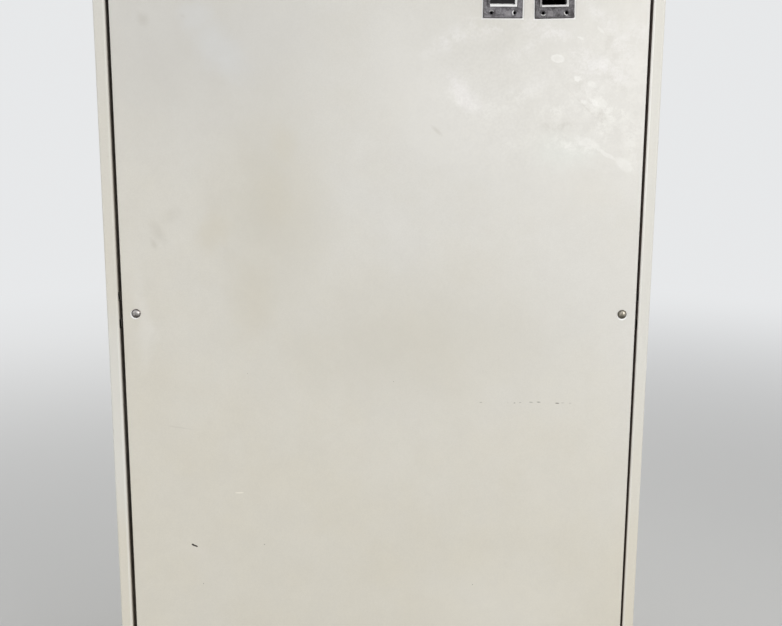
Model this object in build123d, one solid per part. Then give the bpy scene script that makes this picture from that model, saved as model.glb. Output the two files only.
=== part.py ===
from build123d import *
import os
from math import cos, radians, sin

# Control panel enclosure: a floor-standing sheet-steel cabinet with an inset lift-off front cover.
# Millimetres. The origin is the centre of the footprint on the floor: +X right, +Y back, +Z up.

# Overall size
WIDTH = 762.0
HEIGHT = 1524.0
DEPTH = 610.0

# Folded steel shell
SHELL_T = 2.0
BEND_R = 1.0
RIM_W = 16.0
RETURN_DEPTH = 26.0
LAND_W = 45.0
REAR_FLANGE_W = 25.0

# Front cover, a shallow pan that hangs a little to the right and leans a little
COVER_T = 1.6
COVER_DEPTH = 20.0
COVER_HEM_W = 12.0
COVER_BEND_R = 0.6
COVER_SIDE_GAP = 4.85
COVER_END_GAP = 5.0
COVER_SHIFT = 0.9
COVER_LEAN = -0.07
STIFFENER_INSET = 260.15
STIFFENER_W = 30.0
STIFFENER_H = 14.0
STIFFENER_FLANGE_W = 14.0
STIFFENER_END_GAP = 60.0
STIFFENER_T = 1.5
GASKET_INSET = 1.5
GASKET_W = 9.5
GASKET_GAP = 0.2

# Quarter-turn cover fasteners
FASTENER_INSET = 19.2
FASTENER_END_INSET = 121.0
HEAD_D = 12.6
HEAD_H = 3.2
HEAD_EDGE_H = 0.7
RECESS_L = 6.4
RECESS_W = 1.3
RECESS_DEPTH = 1.5
SHANK_D = 6.0
SHANK_HOLE_D = 6.8
CROSS_PIN_D = 2.5
CROSS_PIN_L = 13.0
CROSS_PIN_GAP = 0.5
SHANK_TIP = 1.2
RETAINER_D = 11.0
RETAINER_T = 1.0
RETAINER_GAP = 0.2
FIT_GAP = 0.05

# Receptacle clips hooked into two slots of the rim's return
CLIP_T = 2.0
CLIP_RISE = 3.0
HOOK_PITCH = 39.0
HOOK_W = 12.4
HOOK_SLOT_W = 13.0
HOOK_SLOT_START = 4.0
HOOK_SLOT_L = 16.0
CLIP_GAP = 0.5
CLIP_INNER_REACH = 13.0
CLIP_SLOT_W = 3.6
CLIP_SLOT_L = 14.6
LAND_SLOT_W = 9.0
LAND_SLOT_L = 17.0

# Die-cast window bezels, the right one fitted slightly askew
BEZEL_W = 52.4
BEZEL_H = 76.0
BEZEL_T = 2.4
BEZEL_CORNER_R = 1.2
BEZEL_EDGE = 0.8
BEZEL_DROP = 339.1
LEFT_BEZEL_INSET = 196.75
RIGHT_BEZEL_INSET = 128.45
RIGHT_BEZEL_TWIST = -1.5
WINDOW_W = 33.2
WINDOW_BORDER = 17.4
WINDOW_SHIFT = -0.8
WINDOW_CORNER_R = 1.6
LIP_W = 3.0
LIP_H = 1.0
LIP_BEVEL = 2.5
BEVEL_DEPTH = 1.8
NECK_WALL = 2.4
NECK_DEPTH = 13.0
NECK_CLEARANCE = 1.6
BEZEL_HOLE_D = 3.8
BEZEL_HOLE_PITCH = 31.0
BEZEL_HOLE_INSET = 7.0
SHEET_HOLE_D = 4.6
COLLAR_D = 8.0
COLLAR_H = 0.6
COUNTERSINK_D = 6.6
PAD_L = 5.0
PAD_X = 6.5
PAD_H = 0.4
BUMP_D = 6.0
BUMP_X = -6.0
BUMP_MARGIN = 1.0
LENS_T = 2.0
LENS_SET_BACK = 2.5
LENS_GAP = 0.1
BEZEL_RETAINER_T = 1.2
BEZEL_RETAINER_W = 4.5

# Floor fixing and cable entry in the base
FLOOR_HOLE_D = 14.0
FLOOR_HOLE_SIDE_INSET = 61.0
FLOOR_HOLE_END_INSET = 65.0
ENTRY_W = 420.0
ENTRY_D = 110.0
ENTRY_REAR_GAP = 60.0
GLAND_MARGIN = 22.0
GLAND_PLATE_T = 2.0
GLAND_GASKET_T = 3.0
GLAND_SCREW_D = 6.0
GLAND_SCREW_HEAD_D = 11.0
GLAND_SCREW_HEAD_H = 3.5
GLAND_SCREW_EDGE_R = 2.4
GLAND_SCREW_TIP_GAP = 0.2

# Mounting panel on four studs welded to the back
PANEL_SIDE_GAP = 61.0
PANEL_END_GAP = 82.0
PANEL_T = 2.5
PANEL_FOLD = 12.0
PANEL_STANDOFF = 30.0
STUD_D = 10.0
STUD_L = 50.0
STUD_SIDE_INSET = 30.0
STUD_END_INSET = 60.0
PANEL_HOLE_D = 11.0
SPACER_D = 18.0
NUT_AF = 17.0
NUT_H = 8.0

# Mounting rails and the devices on them, with heights from the middle of the mounting panel
RAIL_END_GAP = 40.0
RAIL_W = 35.0
RAIL_CREST_W = 25.0
RAIL_H = 7.5
RAIL_T = 1.0
UPPER_RAIL_RISE = 378.0
LOWER_RAIL_RISE = -382.0
RAIL_SCREW_INSET = 40.0
RAIL_SCREW_D = 5.0
RAIL_SCREW_HEAD_D = 9.5
RAIL_SCREW_HEAD_H = 3.0
HOOK_GAP = 0.2
HOOK_LIP = 1.6
HOOK_WALL = 2.4
CONTACTOR_W = 45.0
CONTACTOR_H = 86.0
CONTACTOR_D = 78.0
CONTACTOR_TIER_D = 43.0
CONTACTOR_SHOULDER_D = 67.0
CONTACTOR_SHOULDER_H = 62.0
CONTACTOR_CREST_H = 43.0
CONTACTOR_POLE_PITCH = 13.5
CONTACTOR_WELL_RISE = 37.0
CONTACTOR_WELL_D = 7.9
CONTACTOR_WELL_DEPTH = 8.0
CONTACTOR_WINDOW_W = 22.5
CONTACTOR_WINDOW_DEPTH = 3.0
CONTACTOR_X = -60.0
CONTACTOR_PITCH = 58.0
TERMINAL_W = 6.0
TERMINAL_H = 44.0
TERMINAL_D = 46.0
TERMINAL_TIER_D = 16.0
TERMINAL_SHOULDER_D = 28.5
TERMINAL_SHOULDER_H = 34.0
TERMINAL_NECK_H = 22.0
TERMINAL_CREST_H = 17.6
TERMINAL_COUNT = 20
TERMINAL_PLAY = 0.2
END_STOP_W = 9.0
END_STOP_D = 37.0
END_STOP_SHOULDER_D = 26.0
END_STOP_CREST_H = 24.0

# Slotted wire ducts with snap-on lids
DUCT_END_GAP = 40.0
DUCT_W = 40.0
DUCT_D = 60.0
DUCT_T = 1.8
DUCT_SLOT_W = 7.0
DUCT_SLOT_DEPTH = 38.0
DUCT_SLOT_PITCH = 28.0
UPPER_DUCT_RISE = 238.0
LOWER_DUCT_RISE = -282.0
LID_SKIRT = 9.0
LID_T = 1.6
LID_GAP = 0.1

# Main circuit breaker with its toggle
BREAKER_X = -190.0
BREAKER_RISE = 518.0
BREAKER_W = 105.0
BREAKER_H = 164.0
BREAKER_D = 60.0
BREAKER_CREST_H = 104.0
BREAKER_CREST_D = 24.0
BREAKER_EDGE_R = 2.0
POLE_PITCH = 35.0
POLE_SLOT_W = 24.0
POLE_SLOT_H = 22.0
POLE_SLOT_D = 34.0
TOGGLE_WELL_W = 22.0
TOGGLE_WELL_H = 54.0
TOGGLE_WELL_D = 30.0
TOGGLE_PIVOT_DEPTH = 18.0
TOGGLE_HUB_R = 9.0
TOGGLE_SIDE_GAP = 0.3
TOGGLE_W = 15.0
TOGGLE_T = 9.0
TOGGLE_EDGE_R = 2.2
TOGGLE_PROUD = 17.0
TOGGLE_SWING = 25.0
TOGGLE_AXLE_R = 2.5
TOGGLE_AXLE_L = 2.0

# Control transformer
TRANSFORMER_X = 170.0
TRANSFORMER_RISE = 523.0
CORE_W = 96.0
CORE_H = 80.0
CORE_STACK = 40.0
CORE_FOOT_W = 18.0
CORE_FOOT_T = 3.0
CORE_LIFT = 14.0
CORE_WINDOW_W = 16.0
CORE_WINDOW_H = 48.0
CORE_LIMB_W = 32.0
COIL_OVERHANG = 12.0
COIL_GAP = 0.3
COIL_R = 6.0

# Earth bar on two stand-off posts
EARTH_BAR_L = 260.0
EARTH_BAR_W = 15.0
EARTH_BAR_T = 5.0
EARTH_BAR_RISE = -532.0
EARTH_POST_D = 12.0
EARTH_POST_L = 20.0
EARTH_POST_X = 110.0
EARTH_SCREW_D = 5.0
EARTH_SCREW_PITCH = 18.0
EARTH_SCREW_COUNT = 10
EARTH_SCREW_HEAD_D = 8.5
EARTH_SCREW_HEAD_H = 4.0

# Planes and edges that several pieces share
HALF_W = WIDTH / 2
FRONT_Y = -DEPTH / 2
REAR_Y = DEPTH / 2
MIDDLE_Z = HEIGHT / 2
OPENING_X = HALF_W - RIM_W
LAND_Y = FRONT_Y + RETURN_DEPTH
LAND_EDGE_X = OPENING_X - LAND_W
LAND_BACK_Y = LAND_Y + SHELL_T
BACK_SHEET_Y = REAR_Y - 2 * SHELL_T
COVER_W = 2 * (OPENING_X - COVER_SIDE_GAP)
COVER_H = HEIGHT - 2 * (RIM_W + COVER_END_GAP)
COVER_BACK_Y = FRONT_Y + COVER_DEPTH
FASTENER_X = COVER_W / 2 - FASTENER_INSET
FASTENER_RISE = COVER_H / 2 - FASTENER_END_INSET
BEZEL_RISE = COVER_H / 2 - BEZEL_DROP + BEZEL_H / 2
ENTRY_Y = REAR_Y - ENTRY_REAR_GAP - ENTRY_D / 2
PANEL_W = WIDTH - 2 * PANEL_SIDE_GAP
PANEL_H = HEIGHT - 2 * PANEL_END_GAP
PANEL_BACK_Y = BACK_SHEET_Y - PANEL_STANDOFF
PANEL_Y = PANEL_BACK_Y - PANEL_T
RAIL_FACE_Y = PANEL_Y - RAIL_H
RAIL_L = PANEL_W - 2 * RAIL_END_GAP
RAIL_SCREW_X = RAIL_L / 2 - RAIL_SCREW_INSET
UPPER_RAIL_Z = MIDDLE_Z + UPPER_RAIL_RISE
LOWER_RAIL_Z = MIDDLE_Z + LOWER_RAIL_RISE
DUCT_L = PANEL_W - 2 * DUCT_END_GAP
UPPER_DUCT_Z = MIDDLE_Z + UPPER_DUCT_RISE
LOWER_DUCT_Z = MIDDLE_Z + LOWER_DUCT_RISE
BREAKER_Z = MIDDLE_Z + BREAKER_RISE
TRANSFORMER_Z = MIDDLE_Z + TRANSFORMER_RISE
EARTH_BAR_Z = MIDDLE_Z + EARTH_BAR_RISE
PIN_Y = LAND_BACK_Y + CLIP_T + CROSS_PIN_GAP + CROSS_PIN_D / 2
SIDES = {"left": -1, "right": 1}
LEVELS = {"top": FASTENER_RISE, "middle": 0.0, "bottom": -FASTENER_RISE}

# A piece modelled about the centre of the cover goes to its place with this
COVER_SEAT = Location((COVER_SHIFT, 0, MIDDLE_Z), (0, COVER_LEAN, 0))


def block(x, y, z):
    """Box between the two given limits on each axis."""
    sizes = [high - low for low, high in (x, y, z)]
    centre = [(low + high) / 2 for low, high in (x, y, z)]
    return Pos(*centre) * Box(*sizes)


def rod(x, y, z, diameter):
    """Cylinder along Y, centred on x and z, between the two limits of y."""
    start, end = y
    return Pos(x, (start + end) / 2, z) * Rot(90, 0, 0) * Cylinder(diameter / 2, end - start)


def slab(outline, start, end):
    """Sheet outline drawn on the front plane, made solid between two values of y."""
    plane = Plane(origin=(0, start, 0), x_dir=(1, 0, 0), z_dir=(0, 1, 0))
    return extrude(plane * mirror(outline, about=Plane.XZ), end - start)


def folded_profile(skin, thickness, bend):
    """Section of a folded sheet: its skin line, and the same line set off to its left."""
    corners = [Vector(*point) for point in skin]
    headings = [(b - a).normalized() for a, b in zip(corners, corners[1:])]
    lefts = [Vector(-heading.Y, heading.X) for heading in headings]
    inner = [corners[0] + lefts[0] * thickness]
    skin_radii = []
    inner_radii = []
    for number, corner in enumerate(corners[1:-1]):
        before, after = lefts[number : number + 2]
        inner.append(corner + (before + after) * (thickness / (1 + before.dot(after))))
        turns_left = before.cross(after).Z > 0
        skin_radii.append(bend + thickness if turns_left else bend)
        inner_radii.append(bend if turns_left else bend + thickness)
    inner.append(corners[-1] + lefts[-1] * thickness)
    skin_line = FilletPolyline(*corners, radius=skin_radii)
    inner_line = FilletPolyline(*inner, radius=inner_radii)
    first_end = Line(corners[0], inner[0])
    last_end = Line(corners[-1], inner[-1])
    return make_face(skin_line.edges() + inner_line.edges() + [first_end, last_end])


def fastener_place(side, level):
    """Axis of one cover fastener, in x and z, on the cover as it hangs."""
    lean = radians(COVER_LEAN)
    x = side * FASTENER_X
    return (
        COVER_SHIFT + x * cos(lean) + level * sin(lean),
        MIDDLE_Z - x * sin(lean) + level * cos(lean),
    )


def upright_slot(x, z, width, length, y):
    """Cutter for an upright slot with round ends."""
    return slab(Pos(x, z) * Rot(0, 0, 90) * SlotOverall(length, width), *y)


# Shell


def side_panel(side):
    """Side wall folded in one piece with its front rim, return, land and rear flange."""
    skin = [
        (LAND_EDGE_X, LAND_Y),
        (OPENING_X, LAND_Y),
        (OPENING_X, FRONT_Y),
        (HALF_W, FRONT_Y),
        (HALF_W, REAR_Y),
        (HALF_W - REAR_FLANGE_W, REAR_Y),
    ]
    panel = extrude(folded_profile(skin, SHELL_T, BEND_R), HEIGHT)
    if side < 0:
        panel = mirror(panel, about=Plane.YZ)
    near = side * (LAND_EDGE_X - 1)
    corner = side * (OPENING_X + SHELL_T + BEND_R)
    end_length = RIM_W + LAND_W
    for low, high, wall_low, wall_high in (
        (0, end_length, 0, SHELL_T),
        (HEIGHT - end_length, HEIGHT, HEIGHT - SHELL_T, HEIGHT),
    ):
        behind_rim = (FRONT_Y + SHELL_T, LAND_BACK_Y + 1)
        panel -= block(sorted((near, side * OPENING_X)), behind_rim, (low, high))
        panel -= block(sorted((near, corner)), behind_rim, (wall_low, wall_high))
    for level in LEVELS.values():
        x, z = fastener_place(side, level)
        panel -= upright_slot(x, z, LAND_SLOT_W, LAND_SLOT_L, (LAND_Y - 1, LAND_BACK_Y + 1))
        for hook_z in hook_heights(z):
            panel -= block(
                sorted((side * (OPENING_X - 1), side * (OPENING_X + SHELL_T + 1))),
                (FRONT_Y + HOOK_SLOT_START, FRONT_Y + HOOK_SLOT_START + HOOK_SLOT_L),
                (hook_z - HOOK_SLOT_W / 2, hook_z + HOOK_SLOT_W / 2),
            )
    return panel


def hook_heights(fastener_z):
    """Heights of the two clip hooks beside a fastener."""
    middle = fastener_z + CLIP_RISE
    return middle - HOOK_PITCH / 2, middle + HOOK_PITCH / 2


def end_panel():
    """Top wall folded in one piece with its front rim, return, land and rear flange."""
    skin = [
        (REAR_Y, HEIGHT - REAR_FLANGE_W),
        (REAR_Y, HEIGHT),
        (FRONT_Y, HEIGHT),
        (FRONT_Y, HEIGHT - RIM_W),
        (LAND_Y, HEIGHT - RIM_W),
        (LAND_Y, HEIGHT - RIM_W - LAND_W),
    ]
    reach = HALF_W - SHELL_T
    section = Plane.YZ.offset(-reach) * folded_profile(skin, SHELL_T, BEND_R)
    panel = extrude(section, 2 * reach)
    fold_bottom = HEIGHT - RIM_W - LAND_W - 1
    for side in SIDES.values():
        front_x = sorted((side * OPENING_X, side * HALF_W))
        rear_x = sorted((side * (HALF_W - REAR_FLANGE_W), side * HALF_W))
        panel -= block(front_x, (FRONT_Y - 1, FRONT_Y + SHELL_T), (fold_bottom, HEIGHT + 1))
        panel -= block(front_x, (FRONT_Y, LAND_BACK_Y + 1), (fold_bottom, HEIGHT - SHELL_T))
        panel -= block(rear_x, (REAR_Y - SHELL_T, REAR_Y + 1), (fold_bottom, HEIGHT + 1))
        panel -= block(rear_x, (REAR_Y - SHELL_T - BEND_R, REAR_Y), (fold_bottom, HEIGHT - SHELL_T))
        panel -= side_panel(side)
    return panel


def base_panel():
    """Bottom panel: the top's twin with floor bolt holes and the cable entry."""
    base = mirror(end_panel(), about=Plane.XY.offset(MIDDLE_Z))
    floor_limits = (-1, SHELL_T + 1)
    base -= block(
        (-ENTRY_W / 2, ENTRY_W / 2),
        (ENTRY_Y - ENTRY_D / 2, ENTRY_Y + ENTRY_D / 2),
        floor_limits,
    )
    pitch_x = WIDTH - 2 * FLOOR_HOLE_SIDE_INSET
    pitch_y = DEPTH - 2 * FLOOR_HOLE_END_INSET
    for spot in GridLocations(pitch_x, pitch_y, 2, 2):
        base -= spot * Cylinder(FLOOR_HOLE_D / 2, 4 * SHELL_T)
    for spot in gland_screw_spots():
        base -= spot * Cylinder(GLAND_SCREW_D / 2 + FIT_GAP, 4 * SHELL_T)
    return base


def rear_panel():
    """Flat back sheet, spot-welded inside the rear flanges."""
    inset = SHELL_T + BEND_R
    return block(
        (-HALF_W + inset, HALF_W - inset),
        (BACK_SHEET_Y, REAR_Y - SHELL_T),
        (inset, HEIGHT - inset),
    )


# Cable entry


def gland_screw_spots():
    """Eight screws round the cable entry, as places on the floor plane."""
    half_x = ENTRY_W / 2 + GLAND_MARGIN / 2
    half_y = ENTRY_D / 2 + GLAND_MARGIN / 2
    columns = (-half_x, -half_x / 3, half_x / 3, half_x)
    return [Pos(x, ENTRY_Y + y, 0) for x in columns for y in (-half_y, half_y)]


def gland_sheet(bottom, thickness, opening):
    """Rectangular sheet over the cable entry, drilled for its screws."""
    plate = Box(ENTRY_W + 2 * GLAND_MARGIN, ENTRY_D + 2 * GLAND_MARGIN, thickness)
    plate = Pos(0, ENTRY_Y, bottom + thickness / 2) * plate
    if opening:
        plate -= Pos(0, ENTRY_Y, bottom) * Box(ENTRY_W, ENTRY_D, 4 * thickness)
    for spot in gland_screw_spots():
        plate -= spot * Pos(0, 0, bottom) * Cylinder(GLAND_SCREW_D / 2 + FIT_GAP, 4 * thickness)
    return plate


def gland_screws():
    """Pan-head screws that hold the gland plate down."""
    seat = SHELL_T + GLAND_GASKET_T + GLAND_PLATE_T
    shank_l = seat - GLAND_SCREW_TIP_GAP
    shank = Pos(0, 0, seat - shank_l / 2) * Cylinder(GLAND_SCREW_D / 2, shank_l)
    head = Cylinder(GLAND_SCREW_HEAD_D / 2, GLAND_SCREW_HEAD_H)
    head = fillet(head.edges().sort_by(Axis.Z)[-1], GLAND_SCREW_EDGE_R)
    screw = Pos(0, 0, seat + GLAND_SCREW_HEAD_H / 2) * head + shank
    return Compound([spot * screw for spot in gland_screw_spots()])


# Front cover


def rounded_pan(width, height, y, radius):
    """Box whose front edges are rounded like a folded pan's."""
    pan = block((-width / 2, width / 2), y, (-height / 2, height / 2))
    return fillet(pan.faces().sort_by(Axis.Y)[0].edges(), radius)


def front_cover():
    """Cover pan with returned edges, a rear hem, drilled window cut-outs and six fastener holes."""
    cover = rounded_pan(COVER_W, COVER_H, (FRONT_Y, COVER_BACK_Y), COVER_T + COVER_BEND_R)
    cover -= rounded_pan(
        COVER_W - 2 * COVER_T,
        COVER_H - 2 * COVER_T,
        (FRONT_Y + COVER_T, COVER_BACK_Y - COVER_T),
        COVER_BEND_R,
    )
    open_x = COVER_W / 2 - COVER_HEM_W
    open_z = COVER_H / 2 - COVER_HEM_W
    cover -= block((-open_x, open_x), (COVER_BACK_Y - 2 * COVER_T, COVER_BACK_Y + 1), (-open_z, open_z))
    through = (FRONT_Y - 1, FRONT_Y + COVER_T + 1)
    cuts = slab(window_outline(NECK_WALL + NECK_CLEARANCE), *through)
    for x, z in bezel_hole_places():
        cuts += rod(x, through, z, SHEET_HOLE_D)
    for seat in bezel_seats():
        cover -= seat * cuts
    for side in SIDES.values():
        for level in LEVELS.values():
            cover -= rod(side * FASTENER_X, through, level, SHANK_HOLE_D)
    return cover


def cover_stiffener(side):
    """Hat-section stiffener spot-welded upright behind the cover sheet."""
    sheet_y = FRONT_Y + COVER_T
    crest_y = sheet_y + STIFFENER_H
    half = STIFFENER_W / 2
    edge = half + STIFFENER_FLANGE_W
    skin = [(-edge, sheet_y), (-half, sheet_y), (-half, crest_y)]
    skin += [(half, crest_y), (half, sheet_y), (edge, sheet_y)]
    length = COVER_H - 2 * STIFFENER_END_GAP
    section = folded_profile(skin, STIFFENER_T, BEND_R)
    return Pos(side * (COVER_W / 2 - STIFFENER_INSET), 0, -length / 2) * extrude(section, length)


def cover_gasket():
    """Foam strip all round the hem, pressed towards the land."""
    outer = Rectangle(COVER_W - 2 * GASKET_INSET, COVER_H - 2 * GASKET_INSET)
    inner_inset = GASKET_INSET + GASKET_W
    inner = Rectangle(COVER_W - 2 * inner_inset, COVER_H - 2 * inner_inset)
    return slab(outer - inner, COVER_BACK_Y, LAND_Y - GASKET_GAP)


# Window bezels


def bezel_seats():
    """Places of the left and the right bezel, from the cover's centre, inset from the cover's right edge."""
    places = ((LEFT_BEZEL_INSET, 0.0), (RIGHT_BEZEL_INSET, RIGHT_BEZEL_TWIST))
    return [Location((COVER_W / 2 - inset, 0, BEZEL_RISE), (0, twist, 0)) for inset, twist in places]


def window_outline(margin):
    """Outline of a bezel's window, grown by a margin all round."""
    width = WINDOW_W + 2 * margin
    height = BEZEL_H - 2 * (WINDOW_BORDER - margin)
    return Pos(WINDOW_SHIFT, 0) * RectangleRounded(width, height, WINDOW_CORNER_R + margin)


def bezel_hole_places():
    """The four screw holes of a bezel, in x and z from its centre."""
    reach = BEZEL_H / 2 - BEZEL_HOLE_INSET
    return [(x, z) for x in (-BEZEL_HOLE_PITCH / 2, BEZEL_HOLE_PITCH / 2) for z in (-reach, reach)]


def bezel():
    """Die-cast frame: flange, bevelled window lip, neck, four collared holes and cast pads."""
    flange = slab(RectangleRounded(BEZEL_W, BEZEL_H, BEZEL_CORNER_R), FRONT_Y - BEZEL_T, FRONT_Y)
    flange = chamfer(flange.faces().sort_by(Axis.Y)[0].edges(), BEZEL_EDGE)
    face_y = FRONT_Y - BEZEL_T
    lip_y = face_y - LIP_H
    neck_back_y = FRONT_Y + NECK_DEPTH
    frame = flange + slab(window_outline(LIP_W), lip_y, face_y)
    frame += slab(window_outline(NECK_WALL), FRONT_Y, neck_back_y)
    sink_depth = (COUNTERSINK_D - BEZEL_HOLE_D) / 2
    sink = Rot(90, 0, 0) * Cone(BEZEL_HOLE_D / 2, COUNTERSINK_D / 2, sink_depth)
    for x, z in bezel_hole_places():
        frame += rod(x, (face_y - COLLAR_H, face_y), z, COLLAR_D)
        frame -= rod(x, (face_y - COLLAR_H - 1, FRONT_Y + 1), z, BEZEL_HOLE_D)
        frame -= Pos(x, face_y - COLLAR_H + sink_depth / 2, z) * sink
    for end in (-1, 1):
        pad_z = end * (BEZEL_H / 2 - BEZEL_HOLE_INSET)
        frame += block(
            (PAD_X - PAD_L / 2, PAD_X + PAD_L / 2),
            (face_y - PAD_H, face_y),
            (pad_z - PAD_L / 2, pad_z + PAD_L / 2),
        )
        bump = rod(BUMP_X, (face_y - PAD_H, face_y), pad_z - end * BEZEL_EDGE, BUMP_D)
        outer_half = sorted((pad_z, end * (BEZEL_H / 2 - BUMP_MARGIN)))
        frame += bump & block((-BEZEL_W, BEZEL_W), (face_y - 1, face_y), outer_half)
    frame -= slab(window_outline(0), lip_y - 1, neck_back_y + 1)
    mouth = Plane(origin=(0, lip_y, 0), x_dir=(1, 0, 0), z_dir=(0, 1, 0))
    return frame - loft([mouth * window_outline(LIP_BEVEL), mouth.offset(BEVEL_DEPTH) * window_outline(0)])


def lens():
    """Dark filter pane held in a bezel's neck."""
    start = FRONT_Y + LENS_SET_BACK
    return slab(window_outline(-LENS_GAP), start, start + LENS_T)


def bezel_retainer():
    """Flat steel frame pressed over the neck behind the cover sheet."""
    frame = window_outline(NECK_WALL + BEZEL_RETAINER_W) - window_outline(NECK_WALL + FIT_GAP)
    start = FRONT_Y + COVER_T
    return slab(frame, start, start + BEZEL_RETAINER_T)


# Cover fasteners and their receptacle clips


def fastener():
    """Quarter-turn stud: domed head with a cross recess, shank and cross pin."""
    crown_y = FRONT_Y - HEAD_H
    dome_h = HEAD_H - HEAD_EDGE_H
    dome_r = ((HEAD_D / 2) ** 2 + dome_h**2) / (2 * dome_h)
    head = rod(0, (crown_y - 1, FRONT_Y), 0, HEAD_D) & Pos(0, crown_y + dome_r, 0) * Sphere(dome_r)
    recess_floor = crown_y + RECESS_DEPTH
    for width, height in ((RECESS_L, RECESS_W), (RECESS_W, RECESS_L)):
        head -= block((-width / 2, width / 2), (crown_y - 1, recess_floor), (-height / 2, height / 2))
    shank = rod(0, (FRONT_Y, PIN_Y + CROSS_PIN_D / 2 + SHANK_TIP), 0, SHANK_D)
    pin = Pos(0, PIN_Y, 0) * Cylinder(CROSS_PIN_D / 2, CROSS_PIN_L)
    return head + shank + pin


def fastener_retainer():
    """Push-on ring that keeps a stud captive behind the cover sheet."""
    start = FRONT_Y + COVER_T + RETAINER_GAP
    ring = rod(0, (start, start + RETAINER_T), 0, RETAINER_D)
    return ring - rod(0, (start - 1, start + RETAINER_T + 1), 0, SHANK_D + 2 * FIT_GAP)


def receptacle_clip(side, level):
    """Folded clip behind the land, with two arms that hook into the slots of the return."""
    x, z = fastener_place(side, level)
    arm_x = OPENING_X + SHELL_T + CLIP_GAP + CLIP_T
    hook_y = FRONT_Y + HOOK_SLOT_START + CLIP_GAP
    skin = [
        (side * x - CLIP_INNER_REACH, LAND_BACK_Y + CLIP_T),
        (arm_x, LAND_BACK_Y + CLIP_T),
        (arm_x, hook_y),
        (OPENING_X + CLIP_GAP / 2, hook_y),
    ]
    height = HOOK_PITCH + HOOK_W
    section = mirror(folded_profile([(px, -py) for px, py in skin], CLIP_T, BEND_R), about=Plane.XZ)
    middle = z + CLIP_RISE
    clip = Pos(0, 0, middle - height / 2) * extrude(section, height)
    half_space = HOOK_PITCH / 2 - HOOK_W / 2
    between = (middle - half_space, middle + half_space)
    clip -= block((OPENING_X - 1, arm_x + 1), (FRONT_Y, LAND_BACK_Y - BEND_R), between)
    clip -= block((OPENING_X + SHELL_T, arm_x + 1), (FRONT_Y, LAND_BACK_Y + CLIP_T + 1), between)
    if side < 0:
        clip = mirror(clip, about=Plane.YZ)
    slot_y = (LAND_BACK_Y - 1, LAND_BACK_Y + CLIP_T + 1)
    clip -= upright_slot(x, z, CLIP_SLOT_W, CLIP_SLOT_L, slot_y)
    return clip - rod(x, slot_y, z, SHANK_HOLE_D)


# Mounting panel


def stud_spots():
    """The four stud places, in x and z."""
    reach_x = PANEL_W / 2 - STUD_SIDE_INSET
    reach_z = PANEL_H / 2 - STUD_END_INSET
    return [(x, MIDDLE_Z + z) for x in (-reach_x, reach_x) for z in (-reach_z, reach_z)]


def mounting_panel():
    """Device panel with its long edges folded back."""
    half = PANEL_W / 2
    fold_y = PANEL_Y + PANEL_FOLD
    skin = [(half, fold_y), (half, PANEL_Y), (-half, PANEL_Y), (-half, fold_y)]
    section = mirror(folded_profile([(x, -y) for x, y in skin], PANEL_T, BEND_R), about=Plane.XZ)
    panel = Pos(0, 0, MIDDLE_Z - PANEL_H / 2) * extrude(section, PANEL_H)
    for x, z in stud_spots():
        panel -= rod(x, (PANEL_Y - 1, PANEL_BACK_Y + 1), z, PANEL_HOLE_D)
    return panel


def panel_studs():
    """Threaded studs welded to the back sheet."""
    return Compound([rod(x, (BACK_SHEET_Y - STUD_L, BACK_SHEET_Y), z, STUD_D) for x, z in stud_spots()])


def panel_spacers():
    """Tubes over the studs that hold the panel off the back."""
    spacers = []
    for x, z in stud_spots():
        tube = rod(x, (PANEL_BACK_Y, BACK_SHEET_Y), z, SPACER_D)
        spacers.append(tube - rod(x, (PANEL_BACK_Y - 1, BACK_SHEET_Y + 1), z, STUD_D + 2 * FIT_GAP))
    return Compound(spacers)


def panel_nuts():
    """Hexagon nuts that clamp the panel."""
    nuts = []
    for x, z in stud_spots():
        outline = Pos(x, z) * RegularPolygon(NUT_AF / 2, 6, major_radius=False)
        nut = slab(outline, PANEL_Y - NUT_H, PANEL_Y)
        nuts.append(nut - rod(x, (PANEL_Y - NUT_H - 1, PANEL_Y + 1), z, STUD_D + 2 * FIT_GAP))
    return Compound(nuts)


# Rails and the devices that clip on them


def din_rail(rail_z):
    """Top-hat mounting rail, its web flat on the panel and its lips at the front."""
    lip = RAIL_W / 2
    crest = RAIL_CREST_W / 2
    web_y = PANEL_Y - RAIL_T
    skin = [(RAIL_FACE_Y, lip), (RAIL_FACE_Y, crest), (web_y, crest)]
    skin += [(web_y, -crest), (RAIL_FACE_Y, -crest), (RAIL_FACE_Y, -lip)]
    section = Plane.YZ.offset(-RAIL_L / 2) * Pos(0, rail_z) * folded_profile(skin, RAIL_T, RAIL_T / 2)
    rail = extrude(section, RAIL_L)
    for x in (-RAIL_SCREW_X, RAIL_SCREW_X):
        rail -= rod(x, (web_y - 1, PANEL_Y + 1), rail_z, RAIL_SCREW_D + 2 * FIT_GAP)
    return rail


def rail_screws():
    """Pan-head screws through both rails."""
    screws = []
    for rail_z in (UPPER_RAIL_Z, LOWER_RAIL_Z):
        for x in (-RAIL_SCREW_X, RAIL_SCREW_X):
            seat = PANEL_Y - RAIL_T
            head = rod(x, (seat - RAIL_SCREW_HEAD_H, seat), rail_z, RAIL_SCREW_HEAD_D)
            screws.append(head + rod(x, (seat, PANEL_Y), rail_z, RAIL_SCREW_D))
    return Compound(screws)


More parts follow.
